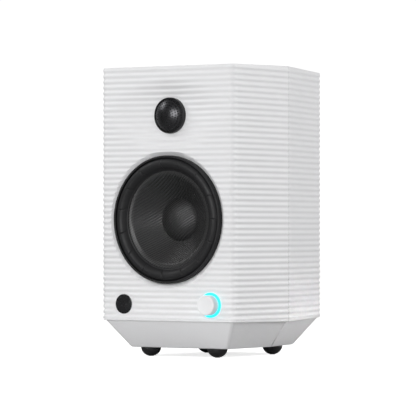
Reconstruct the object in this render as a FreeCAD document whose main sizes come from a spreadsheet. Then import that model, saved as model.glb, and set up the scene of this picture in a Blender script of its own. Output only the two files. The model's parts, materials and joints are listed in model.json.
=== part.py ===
"""Active bookshelf speaker, as a parametric FreeCAD document.

Millimetres. +Z is up, the front faces -Y, and +X is to the right of someone who faces the front.
The origin is on the floor, under the middle of the whole object.
"""
import FreeCAD, Part
import math
import os
import re
import Sketcher

Vector = FreeCAD.Vector
ALONG_Y = FreeCAD.Rotation(Vector(1, 0, 0), -90)

# ---------------------------------------------------------------- driving dimensions

sizes = {
    # cabinet plan and heights
    "cabinet_width": 186.0,
    "cabinet_depth": 237.0,
    "side_length": 118.0,
    "back_width": 123.0,
    "corner_radius": 7.5,
    "wall": 6.0,
    "body_bottom": 42.0,
    "rib_pitch": 6.5,
    "rib_depth": 1.1,
    "floor_thickness": 4.0,
    "crown": 2.1,
    # skirt and feet
    "skirt_bottom": 10.4,
    "skirt_step": 3.3,
    "skirt_taper": 24.6,
    "skirt_back_taper": 38.6,
    "skirt_wall": 4.0,
    "foot_radius": 11.7,
    "foot_flat": 0.4,
    "foot_stem_radius": 5.0,
    "foot_stem_length": 7.0,
    "foot_side": 46.5,
    "foot_front": 36.0,
    "foot_back": 152.0,
    # parting line between the shells, with its bosses and ears
    "seam": 115.3,
    "seam_gap": 0.5,
    "boss_side": 81.0,
    "boss_radius": 6.5,
    "boss_length": 20.0,
    "ear_half": 7.0,
    "ear_thickness": 5.0,
    "gasket_inset": 2.0,
    "gasket_width": 3.0,
    # woofer, depths measured from the front plane
    "woofer_height": 158.4,
    "bevel_radius": 79.3,
    "bevel_depth": 5.5,
    "woofer_radius": 73.6,
    "rim_proud": 1.5,
    "rim_width": 2.6,
    "pad_radius": 86.0,
    "pad_depth": 10.0,
    "high_pad_bottom": 232.0,
    "high_pad_height": 94.0,
    "gasket_inner": 75.5,
    "gasket_outer": 83.0,
    "flange_inner": 66.0,
    "flange_outer": 84.0,
    "flange_depth": 12.0,
    "flange_plate": 3.0,
    "leg_outer": 53.0,
    "leg_inner": 49.0,
    "leg_depth": 45.0,
    "basket_hole": 43.0,
    "roll_radius": 63.5,
    "roll_half": 6.6,
    "roll_rise": 5.1,
    "roll_depth": 2.4,
    "roll_skin": 1.2,
    "cone_radius": 56.0,
    "cone_depth": 3.6,
    "cone_skin": 1.2,
    "former_radius": 19.5,
    "former_skin": 0.4,
    "former_depth": 30.5,
    "former_end": 60.0,
    "coil_skin": 0.7,
    "coil_depth": 48.0,
    "cap_radius": 24.5,
    "cap_rise": 9.0,
    "cap_depth": 26.8,
    "cap_skin": 0.8,
    "spider_radius": 48.7,
    "spider_depth": 45.2,
    "spider_wave": 1.6,
    "motor_depth": 51.0,
    "motor_radius": 50.0,
    "motor_plate": 6.0,
    "magnet_inner": 28.0,
    "magnet_outer": 52.0,
    "magnet_length": 16.0,
    "pole_gap": 0.5,
    "coil_gap": 1.6,
    # tweeter
    "tweeter_height": 278.0,
    "tweeter_radius": 20.7,
    "tweeter_rim_inner": 19.4,
    "tweeter_rim_depth": 5.0,
    "dish_depth": 8.5,
    "dish_half_width": 82.0,
    "dish_half_height": 44.0,
    "tweeter_pad_radius": 34.0,
    "tweeter_pad_depth": 15.0,
    "tweeter_flange": 32.0,
    "tweeter_mouth": 15.7,
    "grille_radius": 19.3,
    "grille_rise": 7.1,
    "grille_depth": 5.8,
    "dome_radius": 12.6,
    "dome_rise": 4.6,
    "dome_depth": 16.4,
    "dome_skin": 0.4,
    "dome_roll": 1.2,
    "dome_coil_depth": 16.8,
    "dome_coil_end": 22.0,
    "tweeter_pole": 11.7,
    "tweeter_slot": 13.1,
    "tweeter_motor_radius": 20.0,
    "tweeter_motor_end": 34.0,
    # controls
    "control_side": 60.5,
    "control_height": 61.0,
    "knob_radius": 11.5,
    "knob_out": 10.0,
    "knob_skirt": 0.6,
    "knob_bore": 3.0,
    "ring_radius": 14.2,
    "ring_depth": 5.5,
    "ring_plate": 2.0,
    "shaft_radius": 3.0,
    "shaft_length": 28.5,
    "encoder_half": 7.5,
    "encoder_depth": 12.0,
    "bush_radius": 5.0,
    "plunger_radius": 4.2,
    "plunger_depth": 21.8,
    "board_depth": 27.0,
    "board_bottom": 48.0,
    "board_height": 26.0,
    "board_half": 85.0,
    "board": 1.6,
    "post_radius": 3.5,
    "window_radius": 11.4,
    "window_inset": 0.2,
    "window_thickness": 2.7,
    # rear panel
    "panel_width": 96.0,
    "panel_bottom": 56.0,
    "panel_top": 206.0,
    "panel_plate": 2.4,
    "panel_rebate": 3.0,
    "panel_ledge": 6.0,
    "panel_screw_side": 44.8,
    "jack_out": 8.0,
    "jack_body": 4.8,
    "jack_collar": 6.5,
    "jack_barrel": 4.15,
    "jack_bore": 1.7,
    "link_radius": 7.8,
    "link_collar": 9.5,
    "link_mouth": 5.0,
    "inlet_half_width": 11.8,
    "inlet_half_height": 7.8,
    "frame_half_width": 6.8,
    "frame_half_height": 9.8,
    "frame_wall": 1.2,
    "bezel": 1.5,
    "bezel_edge": 1.7,
    "rocker_half_width": 5.2,
    "rocker_half_height": 7.7,
    "rocker_pivot": 2.0,
    "button_radius": 3.4,
    "button_bore": 3.8,
    "port_height": 262.0,
    "port_radius": 21.0,
    "port_length": 88.0,
    "port_skin": 2.5,
    # electronics inside
    "sink_half": 32.0,
    "sink_bottom": 104.0,
    "sink_height": 30.0,
    "sink_base": 4.0,
    "fin": 4.0,
    "fin_length": 15.0,
    "standoff_radius": 2.8,
    "standoff_length": 26.0,
    "amplifier_half": 42.0,
    "amplifier_bottom": 66.0,
    "amplifier_height": 130.0,
    "core_half": 28.0,
    "core_depth": 128.0,
    "core_length": 36.0,
    "core_limb": 12.0,
    "core_height": 50.0,
    "winding_half": 15.8,
    "winding_over": 6.0,
    "foam_thickness": 8.0,
    "foam_out": 86.7,
    "foam_depth": 20.0,
    "foam_length": 70.0,
    "foam_bottom": 92.0,
    "foam_height": 200.0,
    # screws, their holes and small fits
    "screw": 2.0,
    "screw_clear": 2.2,
    "small_screw": 1.5,
    "small_screw_clear": 1.7,
    "fit_gap": 0.3,
    "running_gap": 0.05,
    # how far joined solids run into each other, and a length past any side, for cutting
    "overlap": 1.0,
    "reach": 400.0,
}

RIBS = 45
sizes["body_top"] = sizes["body_bottom"] + RIBS * sizes["rib_pitch"]
# the knob and the phono sockets stand out of the cabinet, and the middle of that whole length is Y = 0
sizes["front"] = (sizes["knob_out"] - sizes["cabinet_depth"] - sizes["jack_out"]) / 2
sizes["back"] = sizes["front"] + sizes["cabinet_depth"]
sizes["panel_face"] = sizes["back"] - 0.4

doc = FreeCAD.newDocument("bookshelf_speaker")
sheet = doc.addObject("Spreadsheet::Sheet", "Dims")
for row, (alias, number) in enumerate(sizes.items(), start=1):
    sheet.set("A%d" % row, alias.replace("_", " "))
    sheet.set("B%d" % row, repr(number))
    sheet.setAlias("B%d" % row, alias)
doc.recompute()

nodes = []


def value(alias):
    """A number read back from the sheet."""
    return float(getattr(sheet, alias))


def bind(item, places):
    """Bind properties to expressions, in which every word is a cell of the sheet."""
    for name, text in places.items():
        item.setExpression(name, re.sub(r"[a-z][a-z_]*", r"Dims.\g<0>", str(text)))
    return item


def place(item, x=0, y=0, z=0, turn=None):
    """Set the Placement: an optional turn, then a position bound to the sheet."""
    if turn is not None:
        item.Placement = FreeCAD.Placement(Vector(0, 0, 0), turn)
    return bind(item, {"Placement.Base.x": x, "Placement.Base.y": y, "Placement.Base.z": z})


def node(item, label):
    """Make an object one of the separate pieces."""
    item.Label = label
    nodes.append(item)
    return item


def block(x, y, z, width, depth, height):
    """A box between x and x + width, y and y + depth, z and z + height."""
    box = doc.addObject("Part::Box", "block")
    bind(box, {"Length": width, "Width": depth, "Height": height})
    return place(box, x, y, z)


def rod(x, y, z, radius, length, turn=ALONG_Y):
    """A cylinder that starts at a point and runs towards +Y, or along another turned axis."""
    cylinder = doc.addObject("Part::Cylinder", "rod")
    bind(cylinder, {"Radius": radius, "Height": length})
    return place(cylinder, x, y, z, turn)


def fuse(*items):
    joined = doc.addObject("Part::MultiFuse", "fuse")
    joined.Shapes = list(items)
    return joined


def cut(base, *tools):
    removed = doc.addObject("Part::Cut", "cut")
    removed.Base = base
    removed.Tool = tools[0] if len(tools) == 1 else fuse(*tools)
    return removed


def common(first, second):
    shared = doc.addObject("Part::Common", "common")
    shared.Base = first
    shared.Tool = second
    return shared


def group(*items):
    """Separate solids kept as one object."""
    together = doc.addObject("Part::Compound", "group")
    together.Links = list(items)
    return together


def feature(shape):
    """An object that holds a shape made by code from the sheet's values."""
    item = doc.addObject("Part::Feature", "feature")
    item.Shape = shape
    return item


def turned(outline, x=0, y="front", z=0, turn=ALONG_Y):
    """A body turned about its own axis from corners of (radius, distance along the axis)."""
    body = doc.addObject("PartDesign::Body", "body")
    sketch = body.newObject("Sketcher::SketchObject", "outline")
    plane = [item for item in body.Origin.OriginFeatures if item.Role == "XZ_Plane"][0]
    sketch.AttachmentSupport = [(plane, "")]
    sketch.MapMode = "FlatFace"
    count = len(outline)
    starts = []
    for index in range(count):
        angle = 2 * math.pi * index / count
        starts.append(Vector(100 + 50 * math.cos(angle), 50 * math.sin(angle), 0))
    for index in range(count):
        sketch.addGeometry(Part.LineSegment(starts[index], starts[(index + 1) % count]), False)
    for index in range(count):
        sketch.addConstraint(Sketcher.Constraint("Coincident", index, 2, (index + 1) % count, 1))
    for index, (radius, along) in enumerate(outline):
        across = sketch.addConstraint(
            Sketcher.Constraint("DistanceX", -1, 1, index, 1, starts[index].x))
        upward = sketch.addConstraint(
            Sketcher.Constraint("DistanceY", -1, 1, index, 1, starts[index].y))
        bind(sketch, {"Constraints[%d]" % across: radius, "Constraints[%d]" % upward: along})
    revolution = body.newObject("PartDesign::Revolution", "revolution")
    revolution.Profile = sketch
    revolution.ReferenceAxis = (sketch, ["V_Axis"])
    revolution.Angle = 360.0
    body.Tip = revolution
    return place(body, x, y, z, turn)


def cap(base_radius, rise, skin, y, z):
    """A thin spherical cap round the axis x = 0 that bulges towards -Y, with its open edge at y."""
    radius = (base_radius ** 2 + rise ** 2) / (2 * rise)
    half_angle = math.asin(base_radius / radius)
    centre = y - rise + radius
    sides = []
    for shell_radius in (radius, radius - skin):
        places = []
        for angle in (0, half_angle / 2, half_angle):
            places.append(Vector(0, centre - shell_radius * math.cos(angle),
                                 z + shell_radius * math.sin(angle)))
        sides.append(places)
    outer, inner = sides
    outline = Part.Wire([
        Part.Arc(*outer).toShape(),
        Part.LineSegment(outer[2], inner[2]).toShape(),
        Part.Arc(*inner[::-1]).toShape(),
        Part.LineSegment(inner[0], outer[0]).toShape(),
    ])
    return Part.Face(outline).revolve(Vector(0, 0, z), Vector(0, 1, 0), 360)


# ---------------------------------------------------------------- cabinet plan

def plan_corners(inset, back_inset):
    """The six corners of the cabinet seen from above, moved inwards by inset, and the back one by more."""
    half = value("cabinet_width") / 2
    front = value("front")
    turn = front + value("side_length")
    extra = back_inset - inset
    narrowing = (half - value("back_width") / 2) / (value("back") - turn)
    half_back = value("back_width") / 2 + narrowing * extra
    back = value("back") - extra
    outer = [Vector(-half, front, 0), Vector(half, front, 0), Vector(half, turn, 0),
             Vector(half_back, back, 0), Vector(-half_back, back, 0), Vector(-half, turn, 0)]
    moved = []
    for index, corner in enumerate(outer):
        arriving = (corner - outer[index - 1]).normalize()
        leaving = (outer[(index + 1) % len(outer)] - corner).normalize()
        normal_in = Vector(-arriving.y, arriving.x, 0)
        normal_out = Vector(-leaving.y, leaving.x, 0)
        moved.append(corner + (normal_in + normal_out) * (inset / (1 + normal_in.dot(normal_out))))
    return moved


def plan_edges(inset, radius, height, back_inset=None):
    """The rounded outline of the plan at a height: an arc and a straight run for each corner."""
    corners = plan_corners(inset, inset if back_inset is None else back_inset)
    arcs = []
    for index, corner in enumerate(corners):
        before = (corners[index - 1] - corner).normalize()
        after = (corners[(index + 1) % len(corners)] - corner).normalize()
        half_angle = before.getAngle(after) / 2
        run = radius / math.tan(half_angle)
        middle = (before + after).normalize() * (radius / math.sin(half_angle) - radius)
        lift = Vector(0, 0, height)
        arcs.append([corner + step + lift for step in (before * run, middle, after * run)])
    edges = []
    for index, (start, middle, end) in enumerate(arcs):
        edges.append(Part.Arc(start, middle, end).toShape())
        edges.append(Part.LineSegment(end, arcs[(index + 1) % len(arcs)][0]).toShape())
    return edges


def plan_wire(inset, radius, height, back_inset=None):
    return feature(Part.Wire(plan_edges(inset, radius, height, back_inset)))


def plan_slab(inset, bottom, thickness):
    """A flat plate that follows the plan."""
    slab = doc.addObject("Part::Extrusion", "slab")
    slab.Base = plan_wire(inset, value("corner_radius") - inset, bottom)
    slab.Dir = Vector(0, 0, thickness)
    slab.Solid = True
    return slab


def tapered(bottom_inset, back_inset, bottom, top_inset, top, radius):
    """A solid that widens upwards between two insets of the plan, and more so at its back."""
    loft = doc.addObject("Part::Loft", "taper")
    loft.Sections = [plan_wire(bottom_inset, radius, bottom, back_inset),
                     plan_wire(top_inset, radius, top)]
    loft.Solid = True
    loft.Ruled = True
    return loft


def ribbed_wall():
    """The upright wall: a closed profile whose outer side is a wave, swept round the plan."""
    edges = plan_edges(0, value("corner_radius"), value("body_bottom"))
    front_run = edges[1]
    middle = front_run.valueAt((front_run.FirstParameter + front_run.LastParameter) / 2)
    first = Part.LineSegment(middle, front_run.Vertexes[1].Point).toShape()
    last = Part.LineSegment(front_run.Vertexes[0].Point, middle).toShape()
    path = feature(Part.Wire([first] + edges[2:] + [edges[0], last]))

    bottom = value("body_bottom")
    top = value("body_top")
    half_pitch = value("rib_pitch") / 2
    swing = value("rib_depth") / 2
    mean = value("front") + swing
    inner = value("front") + value("wall")
    height = bottom + half_pitch / 2
    lines = [Part.LineSegment(Vector(0, mean, bottom), Vector(0, mean, height)).toShape()]
    for half_wave in range(2 * RIBS - 1):
        bulge = -swing if half_wave % 2 == 0 else swing
        start = Vector(0, mean, height)
        middle = Vector(0, mean + bulge, height + half_pitch / 2)
        height += half_pitch
        lines.append(Part.Arc(start, middle, Vector(0, mean, height)).toShape())
    rest = [Vector(0, mean, height), Vector(0, mean, top), Vector(0, inner, top),
            Vector(0, inner, bottom), Vector(0, mean, bottom)]
    for start, end in zip(rest, rest[1:]):
        lines.append(Part.LineSegment(start, end).toShape())

    sweep = doc.addObject("Part::Sweep", "ribbed_wall")
    sweep.Sections = [feature(Part.Wire(lines))]
    sweep.Spine = (path, ["Edge%d" % (index + 1) for index in range(len(path.Shape.Edges))])
    sweep.Solid = True
    sweep.Frenet = False
    return sweep


def crowned_plate(outer, inner):
    """The body's top or floor between two heights, whose outer side swells towards the parting line."""
    swell = math.copysign(value("crown"), outer - inner)
    front = value("front")
    back = value("back")
    low = min(inner, outer + swell)
    high = max(inner, outer + swell)
    places = [(front, inner), (front, outer), (front + value("seam"), outer + swell), (back, outer),
              (back, inner), (front, inner)]
    half = value("cabinet_width") / 2
    side = Part.Face(Part.makePolygon([Vector(-half, y, z) for y, z in places]))
    swelling = feature(side.extrude(Vector(2 * half, 0, 0)))
    return common(swelling, plan_slab(value("rib_depth") / 2 + value("running_gap"), low, high - low))


def cabinet():
    """Ribbed wall, top, floor and hollow skirt as one solid, before it is parted into two shells."""
    bottom = value("body_bottom")
    skirt_bottom = value("skirt_bottom")
    step = value("skirt_step")
    taper = value("skirt_taper")
    back_taper = value("skirt_back_taper")
    skin = value("skirt_wall")
    inner_bottom = skirt_bottom + skin
    risen = skin / (bottom - skirt_bottom)
    corner = value("corner_radius") / 2
    top_plate = crowned_plate(value("body_top"), value("body_top") - value("wall"))
    floor_plate = crowned_plate(bottom, bottom + value("floor_thickness"))
    skirt = tapered(taper, back_taper, skirt_bottom, step, bottom, corner)
    hollow = tapered(taper + skin - risen * (taper - step), back_taper + skin - risen * (back_taper - step),
                     inner_bottom, step + skin, bottom, corner)
    return fuse(ribbed_wall(), top_plate, floor_plate, cut(skirt, hollow))


# ---------------------------------------------------------------- shells

BOSS_HEIGHTS = (75.0, 190.0, 300.0)
POSTS = ((-80.0, 61.0), (0.0, 52.0), (80.0, 61.0))
QUARTER_TURNS = (45.0, 135.0, 225.0, 315.0)
WOOFER_SCREW_CIRCLE = 80.0
TWEETER_SCREW_CIRCLE = 28.0
UPWARD = FreeCAD.Rotation()


def circle_places(radius, x, z):
    """Four points on a circle round an axis along Y, as (x, z)."""
    places = []
    for turn in QUARTER_TURNS:
        angle = math.radians(turn)
        places.append((x + radius * math.cos(angle), z + radius * math.sin(angle)))
    return places


WOOFER_SCREWS = circle_places(WOOFER_SCREW_CIRCLE, 0, sizes["woofer_height"])
TWEETER_SCREWS = circle_places(TWEETER_SCREW_CIRCLE, 0, sizes["tweeter_height"])
SHELL_SCREWS = [(side * sizes["boss_side"], height) for side in (-1, 1) for height in BOSS_HEIGHTS]


def dish_cutter():
    """The shallow waveguide: an ellipse at the front plane that narrows to the tweeter's circle."""
    ellipse = Part.Ellipse(Vector(0, 0, 0), value("dish_half_width"), value("dish_half_height"))
    wide = ellipse.toShape()
    wide.rotate(Vector(0, 0, 0), Vector(1, 0, 0), 90)
    wide.translate(Vector(0, value("front"), value("tweeter_height")))
    centre = Vector(0, value("front") + value("dish_depth"), value("tweeter_height"))
    narrow = Part.Circle(centre, Vector(0, -1, 0), value("tweeter_radius")).toShape()
    return feature(Part.makeLoft([Part.Wire(wide), Part.Wire(narrow)], True, True))


def stem_hole(side, end):
    """The hole that takes a foot's stem."""
    return rod("%d * foot_side" % side, "front + foot_" + end, 0, "foot_stem_radius",
               "skirt_bottom + skirt_wall + reach / 20", UPWARD)


def front_shell(body):
    """Baffle, side walls and the front of the skirt."""
    rear_half = block("-reach", "front + seam - seam_gap / 2", "-reach", "2 * reach", "reach", "2 * reach")
    inside = "front + wall - overlap"
    pad = "pad_depth - wall + overlap"
    pads = [
        rod(0, inside, "woofer_height", "pad_radius", pad),
        block("-pad_radius", inside, "high_pad_bottom", "2 * pad_radius", pad, "high_pad_height"),
        rod(0, inside, "tweeter_height", "tweeter_pad_radius", "tweeter_pad_depth - wall + overlap"),
    ]
    for x, z in SHELL_SCREWS:
        pads.append(rod(x, "front + seam - boss_length - seam_gap / 2", z, "boss_radius", "boss_length"))
    for x, z in POSTS:
        pads.append(rod(x, inside, z, "post_radius", "board_depth - wall + overlap"))
    solid = fuse(cut(body, rear_half), *pads)

    bevel = doc.addObject("Part::Cone", "bevel")
    bind(bevel, {"Radius1": "bevel_radius", "Radius2": "woofer_radius", "Height": "bevel_depth"})
    place(bevel, 0, "front", "woofer_height", ALONG_Y)
    through = "2 * pad_depth"
    outside = "front - overlap"
    holes = [
        bevel,
        rod(0, "front", "woofer_height", "woofer_radius", through),
        dish_cutter(),
        rod(0, "front", "tweeter_height", "tweeter_radius", through),
        rod("control_side", outside, "control_height", "ring_radius + running_gap", "wall + 2 * overlap"),
        rod("-control_side", outside, "control_height", "window_radius + running_gap",
            "window_inset + window_thickness + overlap + 0.1"),
        rod("-control_side", outside, "control_height", "window_radius - 2", "wall + 2 * overlap"),
        stem_hole(-1, "front"),
        stem_hole(1, "front"),
    ]
    for x, z in SHELL_SCREWS:
        holes.append(rod(x, "front + seam - 15", z, "screw", "boss_length"))
    for x, z in POSTS:
        holes.append(rod(x, "front + board_depth - 12", z, "small_screw", 12))
    for x, z in WOOFER_SCREWS:
        holes.append(rod(x, "front + 4", z, "screw", "pad_depth"))
    for x, z in TWEETER_SCREWS:
        holes.append(rod(x, "front + 11", z, "small_screw", "pad_depth"))
    node(cut(solid, *holes), "front_shell")


def rear_shell(body):
    """The narrowing back half, with the openings for the panel and the port."""
    seam_back = "front + seam + seam_gap / 2"
    front_half = block("-reach", "front - reach", "-reach", "2 * reach", "reach + seam + seam_gap / 2",
                       "2 * reach")
    ears = []
    for x, z in SHELL_SCREWS:
        ears.append(block("%s - ear_half" % x, seam_back, "%s - ear_half" % z, "2 * ear_half",
                          "ear_thickness", "2 * ear_half"))
    solid = fuse(cut(body, front_half), *ears)
    height = "panel_top - panel_bottom"
    holes = [
        block("-panel_width / 2", "back - panel_rebate", "panel_bottom", "panel_width", "reach", height),
        block("-panel_width / 2 + panel_ledge", "back - 20", "panel_bottom + panel_ledge",
              "panel_width - 2 * panel_ledge", "reach", height + " - 2 * panel_ledge"),
        rod(0, "back - 20", "port_height", "port_radius + port_skin + 0.1", "reach"),
        stem_hole(-1, "back"),
        stem_hole(1, "back"),
    ]
    for x, z in SHELL_SCREWS:
        holes.append(rod(x, "front + seam - 5", z, "screw_clear", 20))
    for x, z in PANEL_SCREWS:
        holes.append(rod(x, "back - 6.5", z, "small_screw", 10))
    node(cut(solid, *holes), "rear_shell")


def seam_gasket():
    """A thin strip that fills the parting line, set in from the outer surface."""
    strips = []
    for lift, inset in ((0, value("gasket_inset")),
                        (value("gasket_width"), value("gasket_inset") + value("gasket_width"))):
        bottom = value("body_bottom") + value("overlap") + lift
        top = value("body_top") - value("gasket_inset") - lift
        strips.append(plan_slab(inset, bottom, top - bottom))
    slice_box = block("-reach", "front + seam - seam_gap / 2", 0, "2 * reach", "seam_gap", "reach")
    node(common(cut(*strips), slice_box), "seam_gasket")


def screws(label, places, y, head, shank_radius, shank_length):
    """Screws driven towards -Y: the (radius, length) head starts at y, the shank runs forward from it."""
    pieces = []
    for x, z in places:
        pieces.append(fuse(rod(x, y, z, *head),
                           rod(x, "%s - %s" % (y, shank_length), z, shank_radius, shank_length)))
    node(group(*pieces), label)


def feet():
    """Four domed rubber feet with a push-in stem each."""
    exposed = value("skirt_bottom")
    radius = value("foot_radius")
    flat = value("foot_flat")
    overlap = value("overlap")
    stem_radius = value("foot_stem_radius") - 0.1
    centre = (radius ** 2 + exposed ** 2 - flat ** 2) / (2 * (exposed + flat))
    for end in ("front", "back"):
        for side, word in ((-1, "left"), (1, "right")):
            x = side * value("foot_side")
            y = value("front") + value("foot_" + end)
            ball = Part.makeSphere(centre + flat, Vector(x, y, centre))
            keep = Part.makeCylinder(2 * radius, exposed, Vector(x, y, 0))
            stem = Part.makeCylinder(stem_radius, value("foot_stem_length") + overlap,
                                     Vector(x, y, exposed - overlap))
            node(feature(ball.common(keep).fuse(stem)), "foot_%s_%s" % (end, word))


# ---------------------------------------------------------------- woofer

def tube(label, inner, outer, start, end, z, x=0, y="front"):
    """A plain ring between two radii and two depths."""
    return node(turned([(inner, start), (outer, start), (outer, end), (inner, end)], x=x, y=y, z=z), label)


def woofer():
    height = "woofer_height"
    former_out = "former_radius + former_skin"
    magnet = "motor_depth + motor_plate"
    back = "motor_depth + motor_plate + magnet_length"
    tube("woofer_rim", "woofer_radius - rim_width", "woofer_radius - 0.1", "-rim_proud", "flange_depth",
         height)
    gasket = turned([("gasket_inner", "pad_depth"), ("gasket_outer", "pad_depth"),
                     ("gasket_outer", "flange_depth"), ("gasket_inner", "flange_depth")], z=height)
    holes = [rod(x, "front + pad_depth - overlap", z, "screw_clear", 5) for x, z in WOOFER_SCREWS]
    node(cut(gasket, *holes), "woofer_gasket")
    woofer_basket(height)
    screws("woofer_screws", WOOFER_SCREWS, "front + flange_depth + flange_plate", (3.8, 2.6), "screw", 10)
    woofer_surround(height)

    node(turned([("cone_radius", "cone_depth"), ("cone_radius", "cone_depth + cone_skin"),
                 (former_out, "former_depth + 1.5"), (former_out, "former_depth")], z=height),
         "woofer_cone")
    cap_shape = cap(value("cap_radius"), value("cap_rise"), value("cap_skin"),
                    value("front") + value("cap_depth"), value("woofer_height"))
    node(feature(cap_shape), "woofer_dust_cap")
    tube("woofer_former", "former_radius", former_out, "former_depth", "former_end", height)
    tube("woofer_coil", former_out, former_out + " + coil_skin", "coil_depth", "former_end", height)
    woofer_spider(height)

    tube("woofer_top_plate", "former_radius + coil_gap", "motor_radius", "motor_depth", magnet, height)
    tube("woofer_magnet", "magnet_inner", "magnet_outer", magnet, back, height)
    pole = "former_radius - pole_gap"
    node(turned([(0, "motor_depth"), (pole, "motor_depth"), (pole, back), ("motor_radius", back),
                 ("motor_radius", back + " + motor_plate"), (0, back + " + motor_plate")], z=height),
         "woofer_yoke")


def woofer_basket(height):
    """A flange, six sloping legs and a ring that holds the motor."""
    solid = turned([("flange_inner", "flange_depth"), ("flange_outer", "flange_depth"),
                    ("flange_outer", "flange_depth + flange_plate"),
                    ("flange_inner + 7", "flange_depth + flange_plate"),
                    ("leg_outer", "leg_depth + 2"), ("leg_outer", "motor_depth"),
                    ("basket_hole", "motor_depth"), ("basket_hole", "leg_depth + 3"),
                    ("leg_inner", "leg_depth + 3"), ("leg_inner", "leg_depth"),
                    ("flange_inner", "flange_depth + 5")], z=height)
    windows = []
    width = 40.0
    centre = Vector(0, value("front") + value("flange_depth") + 10, value("woofer_height"))
    outwards = FreeCAD.Placement(Vector(-width / 2, 0, value("leg_outer") - 5), UPWARD)
    for index in range(6):
        window = block(0, 0, 0, width, 18, width)
        turn = FreeCAD.Rotation(Vector(0, 1, 0), 60 * index)
        window.Placement = FreeCAD.Placement(centre, turn).multiply(outwards)
        windows.append(window)
    holes = []
    for x, z in WOOFER_SCREWS:
        holes.append(rod(x, "front + flange_depth - overlap", z, "screw_clear", 6))
    node(cut(solid, *(windows + holes)), "woofer_basket")


def half_roll(half, rise):
    """Points over a half-roll, from its outer edge to its inner edge."""
    points = []
    for turn in range(0, 181, 30):
        angle = math.radians(turn)
        points.append(("roll_radius + %.4f * %s" % (math.cos(angle), half),
                       "roll_depth - %.4f * %s" % (math.sin(angle), rise)))
    return points


def woofer_surround(height):
    """A half-roll of rubber between the basket's flange and the cone's edge."""
    front_side = half_roll("roll_half", "roll_rise")
    back_side = half_roll("(roll_half - roll_skin)", "(roll_rise - roll_skin)")
    outer_lip = [("roll_radius + roll_half - roll_skin", "flange_depth - 0.2"),
                 ("roll_radius + roll_half + 0.8", "flange_depth - 0.2"),
                 ("roll_radius + roll_half + 0.8", "roll_depth")]
    inner_lip = [("cone_radius + fit_gap", "roll_depth"), ("cone_radius + fit_gap", "roll_depth + roll_skin"),
                 ("roll_radius - roll_half + roll_skin", "roll_depth + roll_skin")]
    node(turned(outer_lip + front_side + inner_lip + back_side[::-1], z=height), "woofer_surround")


def woofer_spider(height):
    """The corrugated disc that centres the former."""
    crests = 5
    inner = value("former_radius") + value("former_skin") + value("fit_gap")
    pitch = (value("spider_radius") - inner) / (2 * crests)
    front_side = []
    back_side = []
    for index in range(2 * crests + 1):
        depth = "spider_depth" if index % 2 == 0 else "spider_depth + spider_wave"
        front_side.append((inner + pitch * index, depth))
        back_side.append((inner + pitch * index, depth + " + cap_skin"))
    node(turned(front_side + back_side[::-1], z=height), "woofer_spider")


# ---------------------------------------------------------------- tweeter

def tweeter():
    height = "tweeter_height"
    pad = "tweeter_pad_depth"
    plate = "tweeter_pad_depth + 3"
    tube("tweeter_rim", "tweeter_rim_inner", "tweeter_radius - 0.1", "tweeter_rim_depth", pad, height)
    grille = cap(value("grille_radius"), value("grille_rise"), value("cap_skin"),
                 value("front") + value("grille_depth"), value("tweeter_height"))
    node(feature(grille), "tweeter_grille")
    body = turned([("tweeter_mouth", pad), ("tweeter_flange", pad), ("tweeter_flange", plate),
                   ("tweeter_mouth", plate)], z=height)
    holes = []
    for x, z in TWEETER_SCREWS:
        holes.append(rod(x, "front + tweeter_pad_depth - overlap", z, "small_screw_clear", 6))
    node(cut(body, *holes), "tweeter_body")
    screws("tweeter_screws", TWEETER_SCREWS, "front + " + plate, (2.8, 2), "small_screw", 6.5)

    roll = "dome_radius + 1.6"
    edge = "dome_depth + 0.2"
    skin = "0.6"
    node(turned([("dome_radius + 0.4", edge), (roll, edge + " - dome_roll"),
                 (roll + " + dome_roll", edge), (roll + " + dome_roll", edge + " + " + skin),
                 (roll, edge + " - dome_roll + " + skin), ("dome_radius + 0.4", edge + " + " + skin)],
                z=height), "tweeter_surround")
    dome = cap(value("dome_radius"), value("dome_rise"), value("dome_skin"),
               value("front") + value("dome_depth"), value("tweeter_height"))
    node(feature(dome), "tweeter_dome")
    tube("tweeter_coil", "dome_radius - dome_skin", "dome_radius", "dome_coil_depth", "dome_coil_end",
         height)
    front_plate = "tweeter_pad_depth + 3.2"
    node(turned([(0, "dome_coil_depth + 0.4"), ("tweeter_pole", "dome_coil_depth + 0.4"),
                 ("tweeter_pole", "tweeter_motor_end - 4"), ("tweeter_mouth + 0.3", "tweeter_motor_end - 4"),
                 ("tweeter_mouth + 0.3", front_plate + " + 3.3"), ("tweeter_slot", front_plate + " + 3.3"),
                 ("tweeter_slot", front_plate), ("tweeter_motor_radius", front_plate),
                 ("tweeter_motor_radius", "tweeter_motor_end"), (0, "tweeter_motor_end")], z=height),
         "tweeter_motor")


# ---------------------------------------------------------------- controls at the front

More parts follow.
